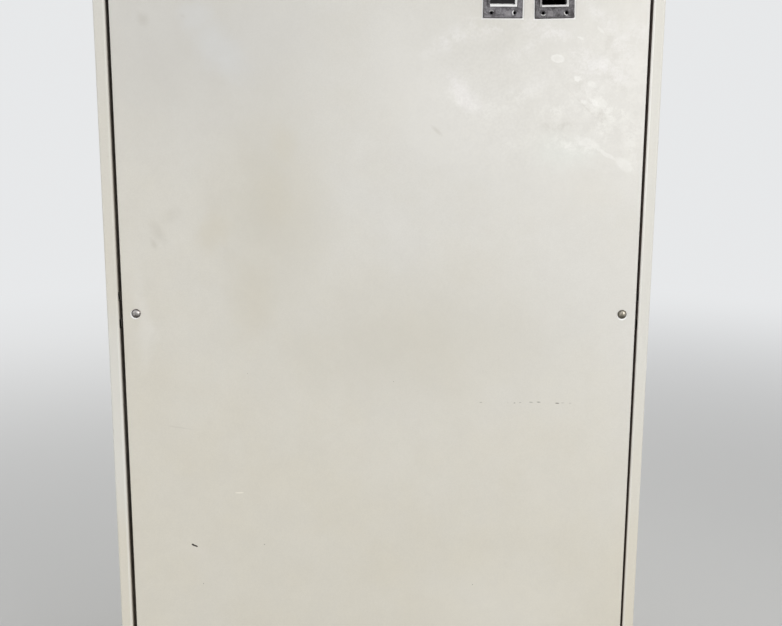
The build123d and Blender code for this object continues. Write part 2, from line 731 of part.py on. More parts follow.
def rail_device(height, front, width, x, rail_z):
    """Moulded device extruded along the rail, with two hooks behind the rail's lips.

    Its stepped front is given as pairs of depth from the rail's face and height there.
    """
    lip = RAIL_W / 2 + HOOK_GAP
    hook_y = RAIL_FACE_Y + RAIL_T + HOOK_GAP
    tail_y = hook_y + HOOK_WALL
    half = height / 2
    upper = [(RAIL_FACE_Y, lip), (hook_y, lip), (hook_y, lip - HOOK_LIP), (tail_y, lip - HOOK_LIP)]
    upper += [(tail_y, lip + HOOK_WALL), (RAIL_FACE_Y, half)]
    upper += [(RAIL_FACE_Y - depth, step_height / 2) for depth, step_height in front]
    lower = [(y, -z) for y, z in reversed(upper)]
    outline = make_face(Polyline(*(upper + lower), close=True))
    return extrude(Plane.YZ.offset(x - width / 2) * Pos(0, rail_z) * outline, width)


def contactor(number):
    """Contactor body with recessed terminal tiers and its push-down armature window."""
    x = CONTACTOR_X + number * CONTACTOR_PITCH
    front = [
        (CONTACTOR_TIER_D, CONTACTOR_H),
        (CONTACTOR_TIER_D, CONTACTOR_SHOULDER_H),
        (CONTACTOR_SHOULDER_D, CONTACTOR_SHOULDER_H),
        (CONTACTOR_SHOULDER_D, CONTACTOR_CREST_H),
        (CONTACTOR_D, CONTACTOR_CREST_H),
    ]
    body = rail_device(CONTACTOR_H, front, CONTACTOR_W, x, UPPER_RAIL_Z)
    tier_y = RAIL_FACE_Y - CONTACTOR_TIER_D
    for pole in (-1, 0, 1):
        for end in (-1, 1):
            well_x = x + pole * CONTACTOR_POLE_PITCH
            well_z = UPPER_RAIL_Z + end * CONTACTOR_WELL_RISE
            body -= rod(well_x, (tier_y - 1, tier_y + CONTACTOR_WELL_DEPTH), well_z, CONTACTOR_WELL_D)
    face_y = RAIL_FACE_Y - CONTACTOR_D
    half = CONTACTOR_WINDOW_W / 2
    return body - block(
        (x - half, x + half),
        (face_y - 1, face_y + CONTACTOR_WINDOW_DEPTH),
        (UPPER_RAIL_Z - half, UPPER_RAIL_Z + half),
    )


def terminal_blocks():
    """Row of feed-through terminals standing side by side on the lower rail."""
    front = [
        (TERMINAL_TIER_D, TERMINAL_H),
        (TERMINAL_SHOULDER_D, TERMINAL_SHOULDER_H),
        (TERMINAL_SHOULDER_D, TERMINAL_NECK_H),
        (TERMINAL_D, TERMINAL_CREST_H),
    ]
    pitch = TERMINAL_W + TERMINAL_PLAY
    first = -pitch * (TERMINAL_COUNT - 1) / 2
    blocks = []
    for number in range(TERMINAL_COUNT):
        x = first + number * pitch
        blocks.append(rail_device(TERMINAL_H, front, TERMINAL_W, x, LOWER_RAIL_Z))
    return Compound(blocks)


def terminal_end_stops():
    """Clamps that stop the terminal row from sliding."""
    reach = (TERMINAL_W + TERMINAL_PLAY) * TERMINAL_COUNT / 2 + END_STOP_W / 2
    front = [(END_STOP_SHOULDER_D, TERMINAL_H), (END_STOP_D, END_STOP_CREST_H)]
    places = [side * reach for side in SIDES.values()]
    return Compound([rail_device(TERMINAL_H, front, END_STOP_W, x, LOWER_RAIL_Z) for x in places])


# Wire ducts


def wire_duct(duct_z):
    """Open trough whose long walls are cut into fingers."""
    front_y = PANEL_Y - DUCT_D
    half = DUCT_W / 2
    duct = block((-DUCT_L / 2, DUCT_L / 2), (front_y, PANEL_Y), (duct_z - half, duct_z + half))
    half -= DUCT_T
    duct -= block((-DUCT_L, DUCT_L), (front_y - 1, PANEL_Y - DUCT_T), (duct_z - half, duct_z + half))
    count = int((DUCT_L - DUCT_SLOT_PITCH) // DUCT_SLOT_PITCH)
    first = -DUCT_SLOT_PITCH * (count - 1) / 2
    slots = []
    for number in range(count):
        x = first + number * DUCT_SLOT_PITCH
        slots.append(
            block(
                (x - DUCT_SLOT_W / 2, x + DUCT_SLOT_W / 2),
                (front_y - 1, front_y + DUCT_SLOT_DEPTH),
                (duct_z - DUCT_W, duct_z + DUCT_W),
            )
        )
    return duct - slots


def duct_lid(duct_z):
    """Snap-on lid over the duct's fingers."""
    front_y = PANEL_Y - DUCT_D
    skirt_y = front_y + LID_SKIRT
    half = DUCT_W / 2 + LID_GAP
    outer = block(
        (-DUCT_L / 2, DUCT_L / 2),
        (front_y - LID_T, skirt_y),
        (duct_z - half - LID_T, duct_z + half + LID_T),
    )
    return outer - block((-DUCT_L, DUCT_L), (front_y, skirt_y + 1), (duct_z - half, duct_z + half))


# Main breaker


def breaker_face_y():
    return PANEL_Y - BREAKER_D - BREAKER_CREST_D


def toggle_pivot():
    """Point on the toggle's axis, in y and z."""
    return breaker_face_y() + TOGGLE_PIVOT_DEPTH, BREAKER_Z


def main_breaker():
    """Moulded three-pole case with terminal wells and the well that the toggle swings in."""
    half_w = BREAKER_W / 2
    half_h = BREAKER_H / 2
    crest_h = BREAKER_CREST_H / 2
    face_y = breaker_face_y()
    shoulder_y = PANEL_Y - BREAKER_D
    case = block(
        (BREAKER_X - half_w, BREAKER_X + half_w),
        (shoulder_y, PANEL_Y),
        (BREAKER_Z - half_h, BREAKER_Z + half_h),
    )
    crest = block(
        (BREAKER_X - half_w, BREAKER_X + half_w),
        (face_y, shoulder_y),
        (BREAKER_Z - crest_h, BREAKER_Z + crest_h),
    )
    crest = fillet(crest.faces().sort_by(Axis.Y)[0].edges(), BREAKER_EDGE_R)
    case += crest
    for pole in (-1, 0, 1):
        pole_x = BREAKER_X + pole * POLE_PITCH
        for end in (-1, 1):
            outer_z = BREAKER_Z + end * (half_h + 1)
            inner_z = BREAKER_Z + end * (half_h - POLE_SLOT_H)
            case -= block(
                (pole_x - POLE_SLOT_W / 2, pole_x + POLE_SLOT_W / 2),
                (shoulder_y - 1, shoulder_y + POLE_SLOT_D),
                sorted((inner_z, outer_z)),
            )
    pivot_y, pivot_z = toggle_pivot()
    case -= block(
        (BREAKER_X - TOGGLE_WELL_W / 2, BREAKER_X + TOGGLE_WELL_W / 2),
        (face_y - 1, face_y + TOGGLE_WELL_D),
        (pivot_z - TOGGLE_WELL_H / 2, pivot_z + TOGGLE_WELL_H / 2),
    )
    bore_l = TOGGLE_WELL_W + 2 * (TOGGLE_AXLE_L + TOGGLE_SIDE_GAP)
    bore = Cylinder(TOGGLE_AXLE_R + FIT_GAP, bore_l)
    return case - Pos(BREAKER_X, pivot_y, pivot_z) * Rot(0, 90, 0) * bore


def breaker_toggle():
    """Toggle on its two stub axles, thrown up to its on position."""
    pivot_y, pivot_z = toggle_pivot()
    hub_l = TOGGLE_WELL_W - 2 * TOGGLE_SIDE_GAP
    hub = Rot(0, 90, 0) * Cylinder(TOGGLE_HUB_R, hub_l)
    axle = Rot(0, 90, 0) * Cylinder(TOGGLE_AXLE_R, hub_l + 2 * TOGGLE_AXLE_L)
    reach = TOGGLE_PIVOT_DEPTH + TOGGLE_PROUD
    lever = block((-TOGGLE_W / 2, TOGGLE_W / 2), (-reach, 0), (-TOGGLE_T / 2, TOGGLE_T / 2))
    lever = fillet(lever.faces().sort_by(Axis.Y)[0].edges(), TOGGLE_EDGE_R)
    return Pos(BREAKER_X, pivot_y, pivot_z) * Rot(-TOGGLE_SWING, 0, 0) * (hub + axle + lever)


# Control transformer


def transformer_core():
    """Laminated shell-type core on two bent feet."""
    back_y = PANEL_Y - CORE_LIFT
    outline = Rectangle(CORE_W, CORE_H)
    limb_x = CORE_LIMB_W / 2 + CORE_WINDOW_W / 2
    for side in SIDES.values():
        outline -= Pos(side * limb_x, 0) * Rectangle(CORE_WINDOW_W, CORE_WINDOW_H)
    core = slab(Pos(TRANSFORMER_X, TRANSFORMER_Z) * outline, back_y - CORE_STACK, back_y)
    for end in (-1, 1):
        edge_z = TRANSFORMER_Z + end * CORE_H / 2
        foot_tip = edge_z + end * CORE_FOOT_W
        core += block(
            (TRANSFORMER_X - CORE_W / 2, TRANSFORMER_X + CORE_W / 2),
            (back_y - CORE_STACK / 2, PANEL_Y),
            sorted((edge_z, edge_z + end * CORE_FOOT_T)),
        )
        core += block(
            (TRANSFORMER_X - CORE_W / 2, TRANSFORMER_X + CORE_W / 2),
            (PANEL_Y - CORE_FOOT_T, PANEL_Y),
            sorted((edge_z, foot_tip)),
        )
    return core


def transformer_coil():
    """Wound coil on the middle limb."""
    back_y = PANEL_Y - CORE_LIFT
    half_x = CORE_LIMB_W / 2 + CORE_WINDOW_W - COIL_GAP
    half_z = CORE_WINDOW_H / 2 - COIL_GAP
    overhang = min(COIL_OVERHANG, CORE_LIFT - COIL_GAP)
    coil = block(
        (TRANSFORMER_X - half_x, TRANSFORMER_X + half_x),
        (back_y - CORE_STACK - COIL_OVERHANG, back_y + overhang),
        (TRANSFORMER_Z - half_z, TRANSFORMER_Z + half_z),
    )
    coil = fillet(coil.edges().filter_by(Axis.Z), COIL_R)
    limb = CORE_LIMB_W / 2 + COIL_GAP
    return coil - block(
        (TRANSFORMER_X - limb, TRANSFORMER_X + limb),
        (back_y - CORE_STACK - COIL_GAP, back_y + COIL_GAP),
        (TRANSFORMER_Z - CORE_H, TRANSFORMER_Z + CORE_H),
    )


# Earth bar


def earth_screw_places():
    first = -EARTH_SCREW_PITCH * (EARTH_SCREW_COUNT - 1) / 2
    return [first + number * EARTH_SCREW_PITCH for number in range(EARTH_SCREW_COUNT)]


def earth_bar():
    """Brass bar drilled for its screws."""
    front_y = PANEL_Y - EARTH_POST_L - EARTH_BAR_T
    half_l = EARTH_BAR_L / 2
    half_w = EARTH_BAR_W / 2
    back_y = front_y + EARTH_BAR_T
    bar = block((-half_l, half_l), (front_y, back_y), (EARTH_BAR_Z - half_w, EARTH_BAR_Z + half_w))
    for x in earth_screw_places():
        bar -= rod(x, (front_y - 1, back_y + 1), EARTH_BAR_Z, EARTH_SCREW_D + 2 * FIT_GAP)
    return bar


def earth_bar_posts():
    """Stand-off posts between the panel and the bar."""
    length = (PANEL_Y - EARTH_POST_L, PANEL_Y)
    return Compound([rod(x, length, EARTH_BAR_Z, EARTH_POST_D) for x in (-EARTH_POST_X, EARTH_POST_X)])


def earth_bar_screws():
    """Clamping screws in the bar."""
    front_y = PANEL_Y - EARTH_POST_L - EARTH_BAR_T
    screws = []
    for x in earth_screw_places():
        head = rod(x, (front_y - EARTH_SCREW_HEAD_H, front_y), EARTH_BAR_Z, EARTH_SCREW_HEAD_D)
        screws.append(head + rod(x, (front_y, front_y + EARTH_BAR_T), EARTH_BAR_Z, EARTH_SCREW_D))
    return Compound(screws)


def all_pieces():
    """Every piece by its node name, at its place in the assembled enclosure."""
    pieces = {
        "left_side_panel": side_panel(-1),
        "right_side_panel": side_panel(1),
        "top_panel": end_panel(),
        "base_panel": base_panel(),
        "rear_panel": rear_panel(),
        "gland_plate_gasket": gland_sheet(SHELL_T, GLAND_GASKET_T, True),
        "gland_plate": gland_sheet(SHELL_T + GLAND_GASKET_T, GLAND_PLATE_T, False),
        "gland_plate_screws": gland_screws(),
        "front_cover": COVER_SEAT * front_cover(),
        "cover_stiffener_left": COVER_SEAT * cover_stiffener(-1),
        "cover_stiffener_right": COVER_SEAT * cover_stiffener(1),
        "cover_gasket": COVER_SEAT * cover_gasket(),
        "mounting_panel": mounting_panel(),
        "panel_studs": panel_studs(),
        "panel_spacers": panel_spacers(),
        "panel_nuts": panel_nuts(),
        "upper_din_rail": din_rail(UPPER_RAIL_Z),
        "lower_din_rail": din_rail(LOWER_RAIL_Z),
        "rail_screws": rail_screws(),
        "contactor_left": contactor(0),
        "contactor_right": contactor(1),
        "terminal_blocks": terminal_blocks(),
        "terminal_end_stops": terminal_end_stops(),
        "upper_wire_duct": wire_duct(UPPER_DUCT_Z),
        "lower_wire_duct": wire_duct(LOWER_DUCT_Z),
        "upper_duct_lid": duct_lid(UPPER_DUCT_Z),
        "lower_duct_lid": duct_lid(LOWER_DUCT_Z),
        "main_breaker": main_breaker(),
        "breaker_toggle": breaker_toggle(),
        "transformer_core": transformer_core(),
        "transformer_coil": transformer_coil(),
        "earth_bar": earth_bar(),
        "earth_bar_posts": earth_bar_posts(),
        "earth_bar_screws": earth_bar_screws(),
    }
    for name, seat in zip(SIDES, bezel_seats()):
        pieces[f"{name}_bezel"] = COVER_SEAT * seat * bezel()
        pieces[f"{name}_bezel_retainer"] = COVER_SEAT * seat * bezel_retainer()
    pieces["left_lens"] = COVER_SEAT * bezel_seats()[0] * lens()
    for side_name, side in SIDES.items():
        for level_name, level in LEVELS.items():
            place = COVER_SEAT * Pos(side * FASTENER_X, 0, level)
            pieces[f"fastener_{side_name}_{level_name}"] = place * fastener()
            pieces[f"retainer_{side_name}_{level_name}"] = place * fastener_retainer()
            pieces[f"clip_{side_name}_{level_name}"] = receptacle_clip(side, level)
    return pieces


os.makedirs("parts", exist_ok=True)
for node, piece in all_pieces().items():
    export_step(piece, os.path.join("parts", f"{node}.step"))
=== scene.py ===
from math import asin, cos, pi, radians, sin

import bmesh
import bpy
from mathutils import Matrix, Vector


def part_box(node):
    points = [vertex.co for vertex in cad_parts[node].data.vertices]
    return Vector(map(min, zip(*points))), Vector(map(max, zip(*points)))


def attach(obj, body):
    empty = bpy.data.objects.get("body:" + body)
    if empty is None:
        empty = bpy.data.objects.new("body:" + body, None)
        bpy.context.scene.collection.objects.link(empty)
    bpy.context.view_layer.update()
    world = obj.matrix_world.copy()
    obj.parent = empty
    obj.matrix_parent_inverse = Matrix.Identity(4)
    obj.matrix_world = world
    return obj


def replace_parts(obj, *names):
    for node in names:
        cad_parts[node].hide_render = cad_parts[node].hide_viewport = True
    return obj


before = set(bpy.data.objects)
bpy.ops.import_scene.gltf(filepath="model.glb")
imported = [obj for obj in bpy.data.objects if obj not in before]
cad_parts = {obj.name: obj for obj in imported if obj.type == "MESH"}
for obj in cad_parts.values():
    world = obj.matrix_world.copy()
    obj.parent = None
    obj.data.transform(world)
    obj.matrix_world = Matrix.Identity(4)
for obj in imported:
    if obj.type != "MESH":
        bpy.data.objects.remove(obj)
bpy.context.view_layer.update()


# Side panels, top, base and rear sheet of the cabinet.
# Two millimetre steel sheet, folded and spot-welded, then powder-coated off-white inside and out in one go.
# The coat has a fine orange peel, is yellowed low down, grubby at the floor and matt on top.
# Painted shade darkens the gap round the cover, and a painted highlight runs along the rim's inner bend.

CABINET_TOP = 1.524
OPENING_HALF_W = 0.365
OPENING_HALF_H = 0.746


def screen_colour(red, green, blue):
    """A colour as a screen shows it, 0 to 255, in the linear values that a shader takes."""
    shares = [value / 255 for value in (red, green, blue)]
    linear = [s / 12.92 if s <= 0.04045 else ((s + 0.055) / 1.055) ** 2.4 for s in shares]
    return (*linear, 1.0)


def new_finish(name, roughness, metallic=0.0):
    """A material with its shader and the object coordinates that every pattern in it reads."""
    finish = bpy.data.materials.new(name)
    finish.use_nodes = True
    tree = finish.node_tree
    shader = tree.nodes["Principled BSDF"]
    shader.inputs["Roughness"].default_value = roughness
    shader.inputs["Metallic"].default_value = metallic
    place = tree.nodes.new("ShaderNodeTexCoord").outputs["Object"]
    return finish, tree, shader, place


def wire(tree, kind, sockets, **settings):
    """Adds a shader node. A socket is linked where its value is a node's output, and is set otherwise."""
    made = tree.nodes.new("ShaderNode" + kind)
    for name, value in settings.items():
        setattr(made, name, value)
    for name, value in sockets.items():
        if isinstance(value, bpy.types.NodeSocket):
            tree.links.new(value, made.inputs[name])
        else:
            made.inputs[name].default_value = value
    return made


def reach(tree, value, low, high, to_low=0.0, to_high=1.0):
    """Smooth step of a value from one limit to the other."""
    sockets = {"Value": value, "From Min": low, "From Max": high, "To Min": to_low, "To Max": to_high}
    return wire(tree, "MapRange", sockets, interpolation_type="SMOOTHSTEP").outputs["Result"]


def cloud(tree, place, scale, detail=3.0, rough=0.55, bend=0.0):
    """Noise from 0 to 1, with so many blotches to the metre."""
    sockets = {"Vector": place, "Scale": scale, "Detail": detail, "Roughness": rough, "Distortion": bend}
    return wire(tree, "TexNoise", sockets).outputs["Fac"]


def times(tree, first, second):
    return wire(tree, "Math", {0: first, 1: second}, operation="MULTIPLY").outputs[0]


def plus(tree, first, second):
    return wire(tree, "Math", {0: first, 1: second}, operation="ADD").outputs[0]


def less(tree, first, second):
    return wire(tree, "Math", {0: first, 1: second}, operation="SUBTRACT").outputs[0]


def larger(tree, first, second):
    return wire(tree, "Math", {0: first, 1: second}, operation="MAXIMUM").outputs[0]


def blend_colours(tree, share, first, second):
    """Mixes two colours, either of which may be another node's output."""
    made = tree.nodes.new("ShaderNodeMix")
    made.data_type = "RGBA"
    for socket, value in ((made.inputs[0], share), (made.inputs[6], first), (made.inputs[7], second)):
        if isinstance(value, bpy.types.NodeSocket):
            tree.links.new(value, socket)
        else:
            socket.default_value = value
    return made.outputs[2]


def set_colour(tree, shader, colour):
    tree.links.new(colour, shader.inputs["Base Color"])


def set_roughness(tree, shader, roughness):
    tree.links.new(roughness, shader.inputs["Roughness"])


def set_relief(tree, shader, height, depth, strength=1.0):
    """Bumps the surface by a height from 0 to 1, over a depth in metres."""
    sockets = {"Height": height, "Distance": depth, "Strength": strength}
    tree.links.new(wire(tree, "Bump", sockets).outputs["Normal"], shader.inputs["Normal"])


def blend_floats(tree, share, first, second):
    return wire(tree, "Mix", {0: share, 2: first, 3: second}).outputs[0]


def axis_of(tree, place, name):
    return wire(tree, "SeparateXYZ", {"Vector": place}).outputs[name]


def offset_from(tree, place, point):
    return wire(tree, "VectorMath", {0: place, 1: point}, operation="SUBTRACT").outputs["Vector"]


def largest_side(tree, local, half_width, half_height):
    """How far a point lies out from the centre, as a share of a rectangle's half sizes."""
    sockets = {0: local, 1: (1 / half_width, 0.0, 1 / half_height)}
    shares = wire(tree, "VectorMath", sockets, operation="MULTIPLY").outputs["Vector"]
    sizes = wire(tree, "VectorMath", {0: shares}, operation="ABSOLUTE").outputs["Vector"]
    split = wire(tree, "SeparateXYZ", {"Vector": sizes})
    return larger(tree, split.outputs["X"], split.outputs["Z"])


def powder_coat(name, colour, aged_colour, grain_depth):
    """Powder-coated sheet: yellowed in broad soft clouds, with a fine peel skin and uneven gloss."""
    finish, tree, shader, place = new_finish(name, 0.42)
    leaning = {0: place, 1: (0.4, 0.0, 1.0)}
    down_left = wire(tree, "VectorMath", leaning, operation="DOT_PRODUCT").outputs["Value"]
    low_down = reach(tree, down_left, 1.02, 0.38, 0.0, 0.85)
    broad = reach(tree, cloud(tree, place, 1.9, 2.0), 0.36, 0.66, -0.1, 0.2)
    fine = reach(tree, cloud(tree, place, 14.0, 5.0, 0.6), 0.3, 0.75, -0.08, 0.14)
    clouds = plus(tree, broad, fine)
    aged = wire(tree, "Math", {0: low_down, 1: clouds}, operation="ADD", use_clamp=True).outputs[0]
    coat = blend_colours(tree, aged, colour, aged_colour)
    peel = cloud(tree, place, 520.0, 2.0)
    # Painted shade: the peel pattern is also painted up to five percent darker, for the fine shading of its
    # bumps.
    coat = blend_colours(tree, reach(tree, peel, 0.3, 0.7, 0.0, 0.05), coat, screen_colour(150, 146, 136))
    set_relief(tree, shader, peel, grain_depth, 0.6)
    gloss = reach(tree, cloud(tree, place, 5.0, 4.0, 0.62), 0.3, 0.7, 0.36, 0.46)
    set_roughness(tree, shader, gloss)
    return finish, tree, shader, place, coat


def dress(finish, *nodes):
    """Gives CAD nodes their material."""
    for name in nodes:
        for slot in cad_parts[name].material_slots:
            slot.material = finish


shell_coat, tree, shader, place, coat = powder_coat(
    "shell_powder_coat", screen_colour(223, 221, 214), screen_colour(222, 216, 201), 0.00006
)
height_up = axis_of(tree, place, "Z")
splash = times(tree, reach(tree, height_up, 0.10, 0.0), cloud(tree, place, 22.0, 5.0, 0.65))
grubby = blend_colours(tree, times(tree, splash, 0.45), coat, screen_colour(128, 118, 98))
rub = times(tree, reach(tree, cloud(tree, place, 65.0, 6.0, 0.7), 0.66, 0.74), 0.25)
rubbed = blend_colours(tree, rub, grubby, screen_colour(186, 178, 158))
off_middle = offset_from(tree, place, (0.0, 0.0, CABINET_TOP / 2))
opening_share = largest_side(tree, off_middle, OPENING_HALF_W, OPENING_HALF_H)
in_opening = reach(tree, opening_share, 1.0035, 1.0015)
depth = axis_of(tree, place, "Y")
to_right = reach(tree, axis_of(tree, place, "X"), -0.05, 0.05)
thickest = reach(tree, to_right, 0.0, 1.0, -0.2915, -0.3002)
# Painted shade: the return and land in the gap round the cover are painted dark brown, for the shade deep in
# the gap.
in_gap = times(tree, reach(tree, depth, -0.3046, thickest), reach(tree, depth, -0.2800, -0.2830))
gap_shade = times(tree, times(tree, in_gap, in_opening), 0.86)
left_rim = reach(tree, axis_of(tree, place, "X"), -0.34, -0.37, 0.0, 0.6)
half_way = times(tree, reach(tree, height_up, 0.84, 0.70), reach(tree, height_up, 0.40, 0.54))
rinsed = blend_colours(tree, times(tree, left_rim, half_way), rubbed, screen_colour(224, 224, 220))
gap_shaded = blend_colours(tree, gap_shade, rinsed, screen_colour(86, 66, 62))
# Painted highlight: the rim's inner bend is painted near white, more on the right and high up, for the light
# it catches.
at_bend = times(tree, reach(tree, opening_share, 1.0085, 1.0060), reach(tree, depth, -0.3020, -0.3028))
bend_highlight_left = reach(tree, height_up, 0.80, 0.66, 0.1, 0.4)
bend_highlight_right = reach(tree, height_up, 0.72, 0.98, 0.4, 1.0)
bend_highlight = times(tree, at_bend, blend_floats(tree, to_right, bend_highlight_left, bend_highlight_right))
set_colour(tree, shader, blend_colours(tree, bend_highlight, gap_shaded, screen_colour(253, 251, 246)))
unwiped = reach(tree, height_up, CABINET_TOP - 0.0018, CABINET_TOP - 0.0002)
peel_gloss = shader.inputs["Roughness"].links[0].from_socket
set_roughness(tree, shader, blend_floats(tree, unwiped, peel_gloss, 0.85))
dress(shell_coat, "left_side_panel", "right_side_panel", "top_panel", "base_panel", "rear_panel")
dress(shell_coat, "gland_plate")


# Gaskets of the cable entry and of the front cover.
# Closed-cell foam strip, black, stuck down on the sheet and squeezed a little.
# Its cut skin is matt and finely pitted.

gasket_foam, tree, shader, place = new_finish("black_foam", 0.92)
pits = wire(tree, "TexVoronoi", {"Vector": place, "Scale": 900.0}).outputs["Distance"]
worn = reach(tree, cloud(tree, place, 40.0), 0.35, 0.7)
set_colour(tree, shader, blend_colours(tree, worn, screen_colour(30, 30, 31), screen_colour(46, 45, 43)))
set_relief(tree, shader, pits, 0.0004, 0.8)
dress(gasket_foam, "gland_plate_gasket", "cover_gasket")


# Zinc-plated small steel: screws, studs, spacer tubes, nuts, rails, posts and retaining frames.
# Bright zinc over drawn or rolled steel, gone slightly dull and cloudy with handling.
# The crystals of the plate show as faint spangle.


def zinc_plate(name, colour, dull_colour, roughness):
    finish, tree, shader, place = new_finish(name, roughness, 1.0)
    spangle = wire(tree, "TexVoronoi", {"Vector": place, "Scale": 420.0}).outputs["Color"]
    flake = wire(tree, "SeparateColor", {"Color": spangle}).outputs["Red"]
    haze = reach(tree, cloud(tree, place, 60.0, 5.0, 0.65), 0.35, 0.7)
    plate = blend_colours(tree, haze, colour, dull_colour)
    shade = times(tree, flake, 0.12)
    set_colour(tree, shader, blend_colours(tree, shade, plate, screen_colour(150, 152, 156)))
    set_roughness(tree, shader, plus(tree, times(tree, haze, 0.16), roughness))
    set_relief(tree, shader, cloud(tree, place, 900.0, 2.0), 0.00003, 0.5)
    return finish, tree, shader, place


fresh, cloudy_zinc = screen_colour(206, 208, 210), screen_colour(182, 182, 176)
bright_zinc = zinc_plate("bright_zinc", fresh, cloudy_zinc, 0.28)[0]
dress(
    bright_zinc,
    "gland_plate_screws",
    "panel_spacers",
    "panel_nuts",
    "upper_din_rail",
    "lower_din_rail",
    "earth_bar_posts",
    "left_bezel_retainer",
    "right_bezel_retainer",
)
for side in ("left", "right"):
    dress(bright_zinc, *[f"retainer_{side}_{level}" for level in ("top", "middle", "bottom")])

THREAD_PITCH = 0.0015
threaded_zinc, tree, shader, place = zinc_plate(
    "threaded_zinc", screen_colour(200, 202, 203), screen_colour(172, 171, 165), 0.32
)
thread = wire(
    tree,
    "TexWave",
    {"Vector": place, "Scale": pi / 10 / THREAD_PITCH},
    wave_type="BANDS",
    bands_direction="Y",
    wave_profile="SIN",
).outputs["Fac"]
set_relief(tree, shader, thread, 0.0007, 1.0)
dress(threaded_zinc, "panel_studs")


# Mounting panel.
# Two and a half millimetre steel, its long edges folded back, enamelled gloss white, clamped on four studs.
# It has hardly aged, behind the closed cover.

enamel, tree, shader, place = new_finish("white_enamel", 0.2)
waviness = cloud(tree, place, 9.0, 3.0)
whiter, greyer = screen_colour(233, 233, 229), screen_colour(225, 224, 217)
set_colour(tree, shader, blend_colours(tree, reach(tree, waviness, 0.3, 0.7), whiter, greyer))
set_relief(tree, shader, cloud(tree, place, 240.0, 2.0), 0.00005, 0.4)
set_roughness(tree, shader, reach(tree, cloud(tree, place, 30.0, 5.0), 0.35, 0.75, 0.16, 0.3))
dress(enamel, "mounting_panel")


# Moulded plastics of the devices and ducts.
# Each is a moulding with a fine spark-eroded skin, rubbed smoother where hands reach it, dusty in its steps.
# The ducts are extruded, so they have faint lengthwise lines instead.


def moulding(name, colour, dusty_colour, roughness, grain):
    finish, tree, shader, place = new_finish(name, roughness)
    dust = reach(tree, cloud(tree, place, 26.0, 5.0, 0.62), 0.42, 0.72)
    set_colour(tree, shader, blend_colours(tree, dust, colour, dusty_colour))
    set_relief(tree, shader, cloud(tree, place, grain, 2.0), 0.00012, 0.5)
    uneven = reach(tree, cloud(tree, place, 70.0, 4.0), 0.3, 0.7, roughness - 0.06, roughness + 0.1)
    set_roughness(tree, shader, uneven)
    return finish


contactor_grey = moulding(
    "contactor_moulding", screen_colour(188, 188, 182), screen_colour(170, 168, 158), 0.5, 1500.0
)
dress(contactor_grey, "contactor_left", "contactor_right")
terminal_beige = moulding(
    "terminal_moulding", screen_colour(196, 188, 160), screen_colour(176, 167, 138), 0.48, 1700.0
)
dress(terminal_beige, "terminal_blocks")
device_black = moulding(
    "black_moulding", screen_colour(38, 38, 40), screen_colour(58, 57, 55), 0.46, 1300.0
)
dress(device_black, "main_breaker", "terminal_end_stops")
toggle_black = moulding(
    "toggle_moulding", screen_colour(26, 26, 27), screen_colour(44, 43, 42), 0.34, 900.0
)
dress(toggle_black, "breaker_toggle")


def drawn_out(tree, place, share):
    """Coordinates in which a pattern runs lengthwise, as on drawn and extruded stock."""
    sockets = {"Vector": place, "Scale": (share, 1.0, 1.0)}
    return wire(tree, "Mapping", sockets, vector_type="POINT").outputs["Vector"]


duct_grey, tree, shader, place = new_finish("extruded_grey", 0.55)
stretched = drawn_out(tree, place, 0.02)
draw_lines = cloud(tree, stretched, 900.0, 3.0)
dust = reach(tree, cloud(tree, place, 12.0, 5.0), 0.4, 0.75)
clean_duct, dusty_duct = screen_colour(150, 152, 155), screen_colour(164, 163, 158)
set_colour(tree, shader, blend_colours(tree, dust, clean_duct, dusty_duct))
set_relief(tree, shader, draw_lines, 0.0001, 0.5)
dress(duct_grey, "upper_wire_duct", "lower_wire_duct", "upper_duct_lid", "lower_duct_lid")


# Control transformer.
# Stacked silicon-steel laminations, dipped in dark varnish, with an amber-taped coil on the middle limb.
# The edges of the sheets show as fine lines through the varnish.

LAMINATION = 0.0005
core_varnish, tree, shader, place = new_finish("varnished_laminations", 0.4)
sheets = wire(
    tree,
    "TexWave",
    {"Vector": place, "Scale": pi / 10 / LAMINATION, "Distortion": 0.6},
    wave_type="BANDS",
    bands_direction="Y",
    wave_profile="SIN",
).outputs["Fac"]
runs = reach(tree, cloud(tree, place, 45.0, 4.0), 0.35, 0.7)
set_colour(tree, shader, blend_colours(tree, runs, screen_colour(52, 42, 32), screen_colour(86, 72, 58)))
set_relief(tree, shader, sheets, 0.0002, 0.7)
dress(core_varnish, "transformer_core")

TAPE_TURN = 0.012
coil_tape, tree, shader, place = new_finish("amber_tape", 0.3)
turns = wire(
    tree,
    "TexWave",
    {"Vector": place, "Scale": pi / 10 / TAPE_TURN, "Distortion": 0.8, "Detail": 1.0},
    wave_type="BANDS",
    bands_direction="Z",
    wave_profile="SAW",
).outputs["Fac"]
set_colour(tree, shader, blend_colours(tree, turns, screen_colour(196, 148, 52), screen_colour(168, 116, 34)))
set_relief(tree, shader, turns, 0.0006, 0.8)
dress(coil_tape, "transformer_coil")


# Earth bar.
# Drawn brass bar, bare, gone slightly brown round its clamping screws.

bar_brass, tree, shader, place = new_finish("drawn_brass", 0.3, 1.0)
drawn = drawn_out(tree, place, 0.03)
tarnish = reach(tree, cloud(tree, place, 55.0, 5.0, 0.65), 0.35, 0.7)
fresh_brass, brown_brass = screen_colour(206, 172, 98), screen_colour(158, 122, 66)
set_colour(tree, shader, blend_colours(tree, tarnish, fresh_brass, brown_brass))
set_relief(tree, shader, cloud(tree, drawn, 1400.0, 3.0), 0.00008, 0.5)
dress(bar_brass, "earth_bar")


# Clamping screws and armature plungers of the two contactors.
# Zinc-plated cheese heads with one slot each, sunk in the wells of the three poles, above and below.
# The plunger is a ribbed black moulding in the front window, and shows whether the contactor has pulled in.


